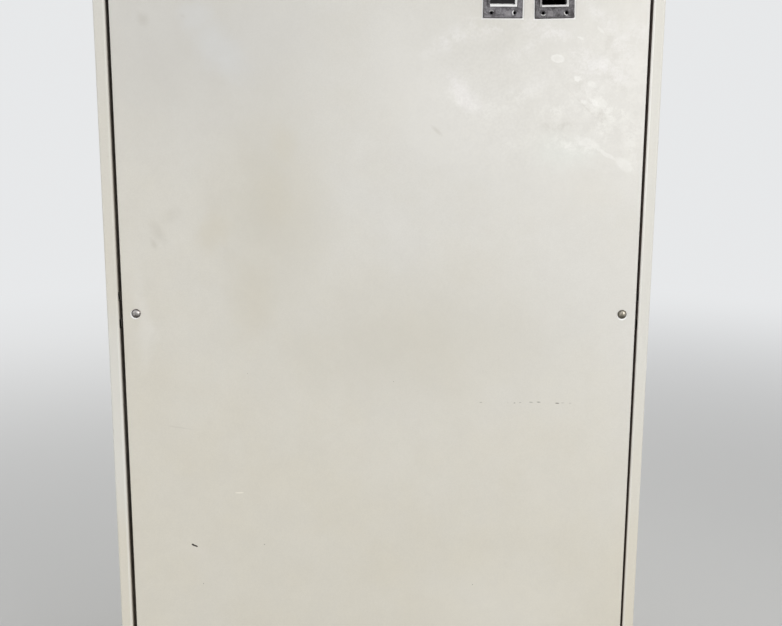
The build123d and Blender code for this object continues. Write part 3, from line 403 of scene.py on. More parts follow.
def add_block(shape, x, y, z, edge):
    """Adds a block between pairs of limits, with its edges rounded over."""
    centre = [(low + high) / 2 for low, high in (x, y, z)]
    sizes = [high - low for low, high in (x, y, z)]
    seat = Matrix.Translation(centre) @ Matrix.Diagonal((*sizes, 1.0))
    corners = bmesh.ops.create_cube(shape, size=1.0, matrix=seat)["verts"]
    edges = list({side for corner in corners for side in corner.link_edges})
    bmesh.ops.bevel(
        shape,
        geom=edges,
        offset=edge,
        offset_type="OFFSET",
        segments=2,
        profile=0.5,
        affect="EDGES",
        material=-1,
    )


def slotted_head(shape, x, z, back_y, front_y, radius, turn):
    """Adds a round screw head that faces the front, with one slot across it at an angle in degrees."""
    slot_floor = front_y + min(radius * 0.45, (back_y - front_y) * 0.6)
    middle = Matrix.Translation((x, (back_y + slot_floor) / 2, z)) @ Matrix.Rotation(radians(90), 4, "X")
    bmesh.ops.create_cone(
        shape,
        cap_ends=True,
        segments=28,
        radius1=radius,
        radius2=radius,
        depth=back_y - slot_floor,
        matrix=middle,
    )
    spin = Matrix.Rotation(radians(turn), 4, "Y")
    half_slot = asin(0.2)
    for half in (0, 1):
        angles = [half * pi + half_slot + (pi - 2 * half_slot) * step / 12 for step in range(13)]
        rim = [spin @ Vector((radius * cos(angle), slot_floor, radius * sin(angle))) for angle in angles]
        cheek = shape.faces.new([shape.verts.new(point + Vector((x, 0.0, z))) for point in rim])
        raised = bmesh.ops.extrude_face_region(shape, geom=[cheek])["geom"]
        corners = [part for part in raised if isinstance(part, bmesh.types.BMVert)]
        top = [part for part in raised if isinstance(part, bmesh.types.BMFace)]
        bmesh.ops.translate(shape, vec=(0.0, front_y - slot_floor, 0.0), verts=corners)
        bmesh.ops.bevel(
            shape,
            geom=list(top[0].edges),
            offset=radius * 0.12,
            offset_type="OFFSET",
            segments=2,
            profile=0.5,
            affect="EDGES",
            material=-1,
        )


def fitting(name, shape, finish):
    """Makes a shaded piece of the shape, fixed to the cabinet's devices."""
    bmesh.ops.recalc_face_normals(shape, faces=shape.faces)
    mesh = bpy.data.meshes.new(name)
    shape.to_mesh(mesh)
    shape.free()
    mesh.shade_smooth()
    mesh.set_sharp_from_angle(angle=radians(34))
    mesh.materials.append(finish)
    made = bpy.data.objects.new(name, mesh)
    bpy.context.scene.collection.objects.link(made)
    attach(made, "cabinet")
    return made


CONTACTOR_POLE_PITCH = 0.0135
CONTACTOR_TIER_BACK = 0.035
CONTACTOR_WELL_DEPTH = 0.008
CONTACTOR_WELL_RISE = 0.037
CONTACTOR_WINDOW_DEPTH = 0.003
CONTACTOR_HEAD_R = 0.0033
CONTACTOR_HEAD_RISE = 0.0056
PLUNGER_W = 0.013
PLUNGER_H = 0.017
PLUNGER_RIB_PITCH = 0.003
plunger_black = moulding(
    "plunger_moulding", screen_colour(34, 34, 35), screen_colour(54, 53, 51), 0.4, 1100.0
)
for side in ("left", "right"):
    low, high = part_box(f"contactor_{side}")
    x, z = (low.x + high.x) / 2, (low.z + high.z) / 2
    floor_y = low.y + CONTACTOR_TIER_BACK + CONTACTOR_WELL_DEPTH
    shape = bmesh.new()
    for pole in (-1, 0, 1):
        for end in (-1, 1):
            head_x, head_z = x + pole * CONTACTOR_POLE_PITCH, z + end * CONTACTOR_WELL_RISE
            turn, head_y = 35 * pole + 50 * end, floor_y - CONTACTOR_HEAD_RISE
            slotted_head(shape, head_x, head_z, floor_y, head_y, CONTACTOR_HEAD_R, turn)
    fitting(f"contactor_{side}_screws", shape, bright_zinc)
    window_y = low.y + CONTACTOR_WINDOW_DEPTH
    shape = bmesh.new()
    wide, tall = (x - PLUNGER_W / 2, x + PLUNGER_W / 2), (z - PLUNGER_H / 2, z + PLUNGER_H / 2)
    add_block(shape, wide, (window_y - 0.0014, window_y), tall, 0.0004)
    for rib in (-2, -1, 0, 1, 2):
        rib_z = z + rib * PLUNGER_RIB_PITCH
        rib_depth, rib_height = (window_y - 0.0024, window_y - 0.0013), (rib_z - 0.0007, rib_z + 0.0007)
        add_block(shape, wide, rib_depth, rib_height, 0.0002)
    fitting(f"contactor_{side}_plunger", shape, plunger_black)


# Clamping screws and blank marking tags of the terminals.
# Each terminal has a small slotted screw on both shoulders, and a white snap-in tag on its crest.
# The tags are left blank.

TERMINAL_COUNT = 20
TERMINAL_PITCH = 0.0062
TERMINAL_SHOULDER_BACK = 0.0175
TERMINAL_SCREW_RISE = 0.014
TERMINAL_SCREW_R = 0.0021
TERMINAL_SCREW_T = 0.0012
TAG_W = 0.005
TAG_H = 0.0095
TAG_T = 0.0008
low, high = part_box("terminal_blocks")
x, z = (low.x + high.x) / 2, (low.z + high.z) / 2
shoulder_y = low.y + TERMINAL_SHOULDER_BACK
tag_white = moulding("tag_moulding", screen_colour(236, 235, 230), screen_colour(222, 219, 208), 0.4, 1600.0)
screw_shape, tag_shape = bmesh.new(), bmesh.new()
for number in range(TERMINAL_COUNT):
    terminal_x = x + (number - (TERMINAL_COUNT - 1) / 2) * TERMINAL_PITCH
    for end in (-1, 1):
        turn = 47 * number + 31 * end
        head_z = z + end * TERMINAL_SCREW_RISE
        head_y = shoulder_y - TERMINAL_SCREW_T
        slotted_head(screw_shape, terminal_x, head_z, shoulder_y, head_y, TERMINAL_SCREW_R, turn)
    wide, tall = (terminal_x - TAG_W / 2, terminal_x + TAG_W / 2), (z - TAG_H / 2, z + TAG_H / 2)
    add_block(tag_shape, wide, (low.y - TAG_T, low.y), tall, 0.0002)
fitting("terminal_screws", screw_shape, bright_zinc)
fitting("terminal_tags", tag_shape, tag_white)


# Lugs and case screws of the main breaker.
# Tinned copper box lugs stand in the six terminal wells, each with its clamping screw in front and a wire
# entry at its outer end. Four slotted screws hold the case's front.

BREAKER_CREST_BACK = 0.024
BREAKER_POLE_PITCH = 0.035
BREAKER_WELL_DEPTH = 0.034
LUG_W = 0.018
LUG_H = 0.016
LUG_D = 0.021
LUG_INSET = 0.0115
LUG_SCREW_R = 0.0048
LUG_SCREW_T = 0.0022
WIRE_ENTRY_WALL = 0.0032
WIRE_ENTRY_DEPTH = 0.006
CASE_SCREW_X = 0.044
CASE_SCREW_Z = 0.044
CASE_SCREW_R = 0.003
CASE_SCREW_T = 0.0014
low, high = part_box("main_breaker")
x, z = (low.x + high.x) / 2, (low.z + high.z) / 2
well_y = low.y + BREAKER_CREST_BACK + BREAKER_WELL_DEPTH
tinned, tree, shader, place = new_finish("tinned_copper", 0.36, 1.0)
dulled = reach(tree, cloud(tree, place, 90.0, 5.0, 0.65), 0.35, 0.7)
fresh_tin, dull_tin = screen_colour(204, 201, 192), screen_colour(168, 158, 140)
set_colour(tree, shader, blend_colours(tree, dulled, fresh_tin, dull_tin))
set_relief(tree, shader, cloud(tree, place, 700.0, 2.0), 0.00004, 0.5)
lug_shape, screw_shape = bmesh.new(), bmesh.new()
for pole in (-1, 0, 1):
    for end in (-1, 1):
        lug_x = x + pole * BREAKER_POLE_PITCH
        lug_z = z + end * ((high.z - low.z) / 2 - LUG_INSET)
        wide, tall = (lug_x - LUG_W / 2, lug_x + LUG_W / 2), (lug_z - LUG_H / 2, lug_z + LUG_H / 2)
        add_block(lug_shape, wide, (well_y - LUG_D, well_y), tall, 0.0008)
        outer = [face for face in lug_shape.faces if face.calc_area() > 0.0002 and face.normal.z * end > 0.9]
        entry = [face for face in outer if abs(face.calc_center_median().x - lug_x) < 0.002]
        bmesh.ops.inset_individual(lug_shape, faces=entry, thickness=WIRE_ENTRY_WALL, depth=-WIRE_ENTRY_DEPTH)
        turn, front_y = 25 * pole + 40 * end, well_y - LUG_D
        slotted_head(screw_shape, lug_x, lug_z, front_y, front_y - LUG_SCREW_T, LUG_SCREW_R, turn)
for side in (-1, 1):
    for end in (-1, 1):
        head_x, head_z = x + side * CASE_SCREW_X, z + end * CASE_SCREW_Z
        turn = 60 * side + 20 * end
        slotted_head(screw_shape, head_x, head_z, low.y, low.y - CASE_SCREW_T, CASE_SCREW_R, turn)
fitting("breaker_lugs", lug_shape, tinned)
fitting("breaker_screws", screw_shape, bright_zinc)


# Terminal strips of the control transformer.
# A ribbed black moulded strip stands on the upper and the lower yoke, with four screws on brass clamps.
# They are screwed to the laminations in front of the coil's ends.

STRIP_W = 0.080
STRIP_H = 0.012
STRIP_RISE = 0.032
STRIP_BASE = 0.005
STRIP_RIB = 0.010
STRIP_RIB_T = 0.0018
STRIP_PITCH = 0.0195
CLAMP_W = 0.009
CLAMP_H = 0.0084
CLAMP_T = 0.0012
CLAMP_SCREW_R = 0.0032
CLAMP_SCREW_T = 0.0022
strip_black = moulding("strip_moulding", screen_colour(30, 29, 29), screen_colour(52, 49, 46), 0.44, 1200.0)
low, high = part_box("transformer_core")
x, z = (low.x + high.x) / 2, (low.z + high.z) / 2
for end, level_name in ((-1, "lower"), (1, "upper")):
    strip_z = z + end * STRIP_RISE
    tall = (strip_z - STRIP_H / 2, strip_z + STRIP_H / 2)
    strip_shape, clamp_shape, screw_shape = bmesh.new(), bmesh.new(), bmesh.new()
    add_block(strip_shape, (x - STRIP_W / 2, x + STRIP_W / 2), (low.y - STRIP_BASE, low.y), tall, 0.0005)
    for rib in range(5):
        rib_x, back_y = x + (rib - 2) * STRIP_PITCH, low.y - STRIP_BASE + 0.0001
        thin = (rib_x - STRIP_RIB_T / 2, rib_x + STRIP_RIB_T / 2)
        add_block(strip_shape, thin, (low.y - STRIP_RIB, back_y), tall, 0.0003)
    for number in range(4):
        clamp_x, base_y = x + (number - 1.5) * STRIP_PITCH, low.y - STRIP_BASE
        wide = (clamp_x - CLAMP_W / 2, clamp_x + CLAMP_W / 2)
        high_and_low = (strip_z - CLAMP_H / 2, strip_z + CLAMP_H / 2)
        clamp_y = base_y - CLAMP_T
        add_block(clamp_shape, wide, (clamp_y, base_y), high_and_low, 0.0003)
        screw_y = clamp_y - CLAMP_SCREW_T
        slotted_head(screw_shape, clamp_x, strip_z, clamp_y, screw_y, CLAMP_SCREW_R, 70 * number)
    fitting(f"transformer_{level_name}_strip", strip_shape, strip_black)
    fitting(f"transformer_{level_name}_clamps", clamp_shape, bar_brass)
    fitting(f"transformer_{level_name}_screws", screw_shape, bright_zinc)


# Heads of the rail screws and of the earth bar's clamping screws.
# Zinc-plated slotted screws, which stand for the plain heads in the solids.
# Each has come to rest with its slot at another angle.

RAIL_HEAD_R = 0.00475
RAIL_HEAD_H = 0.003
EARTH_HEAD_R = 0.00425
EARTH_HEAD_H = 0.004
EARTH_SCREW_COUNT = 10
low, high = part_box("rail_screws")
shape = bmesh.new()
for x, turn in ((low.x + RAIL_HEAD_R, 20), (high.x - RAIL_HEAD_R, -50)):
    for z in (low.z + RAIL_HEAD_R, high.z - RAIL_HEAD_R):
        slotted_head(shape, x, z, low.y + RAIL_HEAD_H, low.y, RAIL_HEAD_R, turn + 400 * z)
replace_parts(fitting("rail_screw_heads", shape, bright_zinc), "rail_screws")
low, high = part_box("earth_bar_screws")
pitch = (high.x - low.x - 2 * EARTH_HEAD_R) / (EARTH_SCREW_COUNT - 1)
shape = bmesh.new()
for number in range(EARTH_SCREW_COUNT):
    x, z = low.x + EARTH_HEAD_R + number * pitch, (low.z + high.z) / 2
    slotted_head(shape, x, z, low.y + EARTH_HEAD_H, low.y, EARTH_HEAD_R, 53 * number)
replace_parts(fitting("earth_screw_heads", shape, bright_zinc), "earth_bar_screws")


# Receptacle clips behind the land.
# Spring steel strip, folded and chemically blacked, hooked into two slots by each fastener.
# Only the ends of their arms show, dark, in the gap round the cover.

clip_black, tree, shader, place = new_finish("blacked_spring_steel", 0.42, 0.6)
oxide = reach(tree, cloud(tree, place, 120.0, 5.0, 0.65), 0.35, 0.72)
set_colour(tree, shader, blend_colours(tree, oxide, screen_colour(26, 25, 25), screen_colour(52, 44, 38)))
set_relief(tree, shader, cloud(tree, place, 800.0, 2.0), 0.00005, 0.5)
for side in ("left", "right"):
    dress(clip_black, *[f"clip_{side}_{level}" for level in ("top", "middle", "bottom")])


# Front cover and the two stiffeners behind it.
# One 1.6 mm steel pan, powder-coated like the shell but smoother, hung in the opening by its fasteners.
# It has yellowed low down, is smeared by hands at the upper right, and has a chip, a scratch and a scuff.
# Painted light and shade lie in its broad patches, on its smears and round its bezels and fasteners.

FACE_Y = -0.305
BEZEL_W = 0.0524
BEZEL_H = 0.076


def own_frame(tree, place, node, turn):
    """Coordinates from the middle of a node that is turned by so many degrees about the depth axis."""
    low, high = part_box(node)
    middle = (low + high) / 2
    sockets = {"Vector": place, "Location": (middle.x, 0.0, middle.z), "Rotation": (0.0, radians(turn), 0.0)}
    return wire(tree, "Mapping", sockets, vector_type="TEXTURE").outputs["Vector"]


def oval(tree, place, x, z, length, width, tilt, soft=0.5, ragged=0.0, grain=300.0):
    """Mask of one mark on the cover's face: an oval, tilted in degrees, with a ragged soft edge."""
    sockets = {
        "Vector": place,
        "Location": (x, FACE_Y, z),
        "Rotation": (0.0, radians(tilt), 0.0),
        "Scale": (length / 2, 1.0, width / 2),
    }
    local = wire(tree, "Mapping", sockets, vector_type="TEXTURE").outputs["Vector"]
    radius = wire(tree, "VectorMath", {0: local}, operation="LENGTH").outputs["Value"]
    if ragged:
        noise = less(tree, cloud(tree, place, grain, 4.0, 0.65), 0.5)
        radius = plus(tree, radius, times(tree, noise, ragged))
    return reach(tree, radius, 1.0, 1.0 - soft)


def all_of(tree, masks):
    total = masks[0]
    for mask in masks[1:]:
        total = larger(tree, total, mask)
    return total


def frayed(tree, place, grain, amount):
    """Coordinates pushed about by noise, so that an oval drawn in them gets a broken, cloudy outline."""
    sockets = {"Vector": place, "Scale": grain, "Detail": 6.0, "Roughness": 0.68}
    noise = wire(tree, "TexNoise", sockets).outputs["Color"]
    centred = offset_from(tree, noise, (0.5, 0.5, 0.5))
    reaches = {0: centred, 1: (amount, 0.0, amount)}
    push = wire(tree, "VectorMath", reaches, operation="MULTIPLY").outputs["Vector"]
    return wire(tree, "VectorMath", {0: place, 1: push}, operation="ADD").outputs["Vector"]


def marks(tree, place, rows, soft, ragged=0.0, grain=300.0):
    """Mask of several ovals. A row is x, z, length and width in metres, tilt in degrees, and strength."""
    masks = [
        times(tree, oval(tree, place, x, z, length, width, tilt, soft, ragged, grain), strength)
        for x, z, length, width, tilt, strength in rows
    ]
    return all_of(tree, masks)


cover_coat, tree, shader, place, coat = powder_coat(
    "cover_powder_coat", screen_colour(225, 223, 217), screen_colour(220, 215, 201), 0.00005
)
cloudy = frayed(tree, place, 6.0, 0.10)
broken = frayed(tree, place, 34.0, 0.034)

# Broad patches: clean ones that are partly painted light, stained ones that are partly painted shade, a grey
# painted shade at the upper left, and a cooler one.
CLEAN_AND_LIT = (
    (0.30, 1.07, 0.46, 0.38, -30.0, 0.85),
    (0.12, 1.05, 0.36, 0.26, 20.0, 0.6),
    (-0.335, 0.76, 0.20, 0.040, 90.0, 0.35),
    (0.180, 0.315, 0.46, 0.22, 0.0, 0.28),
)
STAINED_AND_SHADED = (
    (-0.150, 0.90, 0.50, 0.26, 88.0, 0.5),
    (0.050, 0.73, 0.66, 0.30, 0.0, 0.42),
)
GREY_SHADED = ((-0.26, 1.14, 0.60, 0.46, 0.0, 0.6),)
COOLER = ((0.250, 0.990, 0.15, 0.09, 0.0, 0.6),)
coat = blend_colours(tree, marks(tree, cloudy, CLEAN_AND_LIT, 0.98), coat, screen_colour(236, 234, 229))
coat = blend_colours(tree, marks(tree, cloudy, STAINED_AND_SHADED, 0.98), coat, screen_colour(206, 201, 186))
coat = blend_colours(tree, marks(tree, cloudy, GREY_SHADED, 0.98), coat, screen_colour(209, 207, 202))
coat = blend_colours(tree, marks(tree, cloudy, COOLER, 0.98), coat, screen_colour(231, 233, 227))

# Fainter patches in the upper left, and the thin mottle that dust leaves all over an old coat.
BLUER = (
    (-0.214, 1.122, 0.150, 0.075, 47.0, 0.36),
    (-0.245, 1.165, 0.070, 0.060, 0.0, 0.32),
)
BROWNER = (
    (-0.229, 0.875, 0.095, 0.065, -60.0, 0.5),
    (-0.130, 0.996, 0.075, 0.060, 90.0, 0.3),
    (-0.145, 0.920, 0.120, 0.070, 90.0, 0.26),
    (-0.178, 0.785, 0.180, 0.095, 90.0, 0.42),
)
coat = blend_colours(tree, marks(tree, broken, BLUER, 0.8), coat, screen_colour(221, 223, 225))
coat = blend_colours(tree, marks(tree, broken, BROWNER, 0.9), coat, screen_colour(212, 206, 190))
dusty = reach(tree, cloud(tree, place, 24.0, 6.0, 0.75), 0.3, 0.7, 0.0, 0.1)
coat = blend_colours(tree, dusty, coat, screen_colour(190, 186, 178))

# Smears that hands have wiped into the gloss, cloudy and crisp, painted near white as painted sheen, and
# darker lanes between them.
CLOUDY_SMEARS = (
    (0.304, 1.048, 0.130, 0.060, 25.0, 1.0),
    (0.300, 1.098, 0.130, 0.056, 10.0, 0.9),
    (0.262, 0.998, 0.110, 0.034, 8.0, 0.9),
    (0.330, 1.130, 0.060, 0.080, 0.0, 0.7),
    (0.270, 1.120, 0.070, 0.026, 20.0, 0.7),
    (0.237, 1.041, 0.064, 0.026, -14.0, 0.8),
    (0.302, 1.020, 0.070, 0.036, 60.0, 0.8),
    (0.112, 1.064, 0.110, 0.048, 50.0, 0.85),
    (0.148, 1.042, 0.060, 0.040, 40.0, 0.6),
    (0.100, 1.140, 0.150, 0.040, -30.0, 0.6),
    (0.190, 1.120, 0.100, 0.034, -20.0, 0.5),
    (0.345, 1.000, 0.120, 0.036, 85.0, 0.6),
    (0.300, 1.163, 0.100, 0.036, 35.0, 0.7),
    (0.225, 1.150, 0.130, 0.044, 10.0, 0.7),
    (0.150, 1.150, 0.080, 0.034, -20.0, 0.6),
    (0.190, 1.064, 0.130, 0.050, -30.0, 0.55),
    (0.190, 1.000, 0.110, 0.040, -20.0, 0.4),
    (0.345, 1.146, 0.050, 0.050, 0.0, 0.6),
)
CRISP_SMEARS = (
    (0.2668, 1.0860, 0.0140, 0.0090, 20.0, 1.0),
    (0.2690, 1.1390, 0.0120, 0.0050, 25.0, 0.7),
    (0.2950, 1.1500, 0.0160, 0.0050, 50.0, 0.5),
    (0.2870, 1.0785, 0.0170, 0.0090, 30.0, 0.55),
    (0.2760, 1.0550, 0.0120, 0.0080, 0.0, 0.7),
    (0.2920, 1.0540, 0.0160, 0.0080, 35.0, 0.7),
    (0.2820, 1.0010, 0.0460, 0.0170, 22.0, 0.42),
    (0.3080, 0.9865, 0.0440, 0.0064, 30.0, 0.48),
    (0.3350, 0.9710, 0.0370, 0.0190, 33.0, 0.46),
)
DARK_LANES = (
    (0.243, 1.022, 0.060, 0.014, -6.0, 0.3),
    (0.262, 1.077, 0.040, 0.034, 60.0, 0.18),
    (0.301, 1.037, 0.044, 0.020, 40.0, 0.26),
    (0.310, 1.130, 0.080, 0.024, 85.0, 0.14),
    (0.318, 1.078, 0.060, 0.016, 30.0, 0.24),
)
coarse = cloud(tree, place, 55.0, 6.0, 0.66, 0.2)
mottle = blend_floats(tree, 0.42, coarse, cloud(tree, place, 210.0, 6.0, 0.75))
hazy_smears_and_sheen = marks(tree, broken, CLOUDY_SMEARS, 0.95)
hazy_smears_and_sheen = times(tree, hazy_smears_and_sheen, reach(tree, mottle, 0.43, 0.59, 0.10, 1.0))
crisp = marks(tree, frayed(tree, place, 90.0, 0.008), CRISP_SMEARS, 0.5)
FINGER_MARK = (0.2390, 1.1122)
fingertip = oval(tree, place, *FINGER_MARK, 0.0215, 0.0125, 8.0, soft=0.25, ragged=0.25, grain=200.0)
its_middle = oval(tree, place, *FINGER_MARK, 0.0160, 0.0085, 8.0, soft=0.5, ragged=0.25, grain=200.0)
ring = less(tree, times(tree, fingertip, 0.75), times(tree, its_middle, 0.25))
wiped_smears_and_sheen = larger(tree, crisp, ring)
haze = larger(tree, hazy_smears_and_sheen, wiped_smears_and_sheen)
higher_up = reach(tree, axis_of(tree, place, "Z"), 1.055, 1.085)
smear_sheen_tint = blend_colours(tree, higher_up, screen_colour(246, 245, 240), screen_colour(245, 243, 242))
# Painted sheen: the smears are painted near white, for the sheen they catch.
coat = blend_colours(tree, times(tree, hazy_smears_and_sheen, 0.72), coat, smear_sheen_tint)
palm_smear_sheen = oval(tree, broken, 0.1165, 1.0620, 0.0850, 0.0400, 50.0, soft=0.8)
coat = blend_colours(tree, times(tree, palm_smear_sheen, 0.45), coat, screen_colour(246, 243, 242))
coat = blend_colours(tree, times(tree, wiped_smears_and_sheen, 0.8), coat, screen_colour(250, 249, 245))
lanes = times(tree, marks(tree, broken, DARK_LANES, 0.95), reach(tree, mottle, 0.59, 0.43, 0.2, 1.0))
coat = blend_colours(tree, lanes, coat, screen_colour(192, 187, 177))
often_held = oval(tree, cloudy, 0.30, 1.07, 0.26, 0.34, 0.0, soft=0.7)
touched = oval(tree, cloudy, 0.22, 1.09, 0.46, 0.40, 0.0, soft=0.7)
freckled = times(tree, often_held, reach(tree, mottle, 0.56, 0.42, 0.0, 0.12))
grainy = times(tree, touched, reach(tree, cloud(tree, place, 260.0, 5.0, 0.7), 0.6, 0.4, 0.0, 0.09))
freckled = larger(tree, freckled, grainy)
coat = blend_colours(tree, freckled, coat, screen_colour(170, 166, 160))

# Faint smudges.
SMUDGES = (
    (0.2740, 1.0530, 0.0940, 0.0036, 43.6, 0.11),
    (0.0775, 1.0163, 0.030, 0.008, 40.0, 0.22),
    (-0.315, 1.161, 0.028, 0.022, 60.0, 0.17),
    (-0.262, 1.165, 0.010, 0.006, 20.0, 0.12),
    (-0.306, 0.876, 0.050, 0.026, 60.0, 0.16),
    (-0.312, 0.860, 0.026, 0.014, 70.0, 0.22),
    (-0.286, 0.900, 0.050, 0.030, -40.0, 0.11),
    (-0.284, 0.595, 0.058, 0.003, 9.0, 0.16),
)
coat = blend_colours(tree, marks(tree, place, SMUDGES, 0.95, 0.8, 90.0), coat, screen_colour(168, 161, 146))

# The broken scuff and the specks.
SCUFFS = (
    (0.1460, 0.6335, 0.0060, 0.0016, 0.0, 0.45),
    (0.1845, 0.6330, 0.0026, 0.0012, 0.0, 0.25),
    (0.1940, 0.6328, 0.0040, 0.0018, -8.0, 0.6),
    (0.2020, 0.6335, 0.0050, 0.0016, 0.0, 0.4),
    (0.2175, 0.6338, 0.0080, 0.0022, 5.0, 0.42),
    (0.2285, 0.6340, 0.0080, 0.0020, 3.0, 0.65),
    (0.2550, 0.6325, 0.0085, 0.0019, 2.0, 0.95),
    (0.2630, 0.6330, 0.0060, 0.0012, 0.0, 0.4),
    (0.2735, 0.6326, 0.0050, 0.0013, 0.0, 0.35),
    (-0.1668, 0.4169, 0.0030, 0.0024, 30.0, 0.5),
    (-0.2578, 0.3554, 0.0022, 0.0022, 0.0, 0.6),
    (0.1394, 0.3541, 0.0022, 0.0018, 0.0, 0.6),
    (-0.1861, 0.6752, 0.0018, 0.0016, 0.0, 0.4),
    (0.0210, 0.6640, 0.0018, 0.0018, 0.0, 0.45),
)
scuffed = marks(tree, place, SCUFFS, 0.7, 0.7, 900.0)
coat = blend_colours(tree, scuffed, coat, screen_colour(92, 86, 74))
scratch = oval(tree, place, -0.2015, 0.4968, 0.0150, 0.0026, -2.0, soft=0.4, ragged=0.5, grain=500.0)
coat = blend_colours(tree, times(tree, scratch, 0.75), coat, screen_colour(244, 240, 228))
halo = oval(tree, place, -0.262, 0.405, 0.050, 0.030, 20.0, soft=0.9, ragged=0.4, grain=60.0)
coat = blend_colours(tree, times(tree, halo, 0.35), coat, screen_colour(224, 219, 210))
chip = all_of(
    tree,
    [
        oval(tree, place, -0.2708, 0.4162, 0.0062, 0.0034, 28.0, soft=0.25, ragged=0.5, grain=700.0),
        oval(tree, place, -0.2672, 0.4146, 0.0070, 0.0028, 24.0, soft=0.25, ragged=0.5, grain=700.0),
    ],
)
coat = blend_colours(tree, chip, coat, screen_colour(44, 33, 26))

# Painted light: a white band round each bezel, over the shade that it casts, and a white crescent at the foot
# of each fastener.
WHITE_BAND = 0.0022
CRESCENT_D = 0.0150
light_bands_and_crescents = []
for side, turn in (("left", -0.07), ("right", -1.57)):
    local = own_frame(tree, place, f"{side}_bezel", turn)
    reached = largest_side(tree, local, BEZEL_W / 2 + WHITE_BAND, BEZEL_H / 2 + WHITE_BAND)
    light_bands_and_crescents.append(reach(tree, reached, 1.0, 0.965))
for side, shift_x, shift_z in (("left", -0.0014, -0.0013), ("right", 0.0002, -0.0019)):
    for level in ("top", "middle", "bottom"):
        low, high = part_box(f"fastener_{side}_{level}")
        x, z = (low.x + high.x) / 2 + shift_x, (low.z + high.z) / 2 + shift_z
        light_bands_and_crescents.append(oval(tree, place, x, z, CRESCENT_D, CRESCENT_D, 0.0, soft=0.2))
coat = blend_colours(tree, all_of(tree, light_bands_and_crescents), coat, screen_colour(252, 252, 250))
set_colour(tree, shader, coat)
gloss = reach(tree, cloud(tree, place, 4.0, 4.0, 0.62), 0.3, 0.7, 0.34, 0.44)
dulled = times(tree, all_of(tree, [haze, scuffed, chip]), 0.14)
set_roughness(tree, shader, plus(tree, gloss, dulled))
dress(cover_coat, "front_cover", "cover_stiffener_left", "cover_stiffener_right")


# Window bezels.
# Each is a grey die casting, pushed through the cover sheet and held by a steel frame behind it.
# Its skin is mottled, with painted shade along its edges and round its lip. The bevel and each countersink
# carry painted highlights, and the bores painted shade.

WINDOW_W = 0.0332
WINDOW_H = 0.0412
WINDOW_X = -0.0008
BEVEL_W = 0.0025
LIP_W = 0.003
HOLE_X = 0.0155
HOLE_Z = 0.031
FLANGE_T = 0.0024
PATCH_Z = -0.0318


def round_axis(tree, place, point):
    """Offset from an axis that points to the front through a point, and the distance from it."""
    sockets = {0: offset_from(tree, place, point), 1: (1.0, 0.0, 1.0)}
    flat = wire(tree, "VectorMath", sockets, operation="MULTIPLY").outputs["Vector"]
    return flat, wire(tree, "VectorMath", {0: flat}, operation="LENGTH").outputs["Value"]


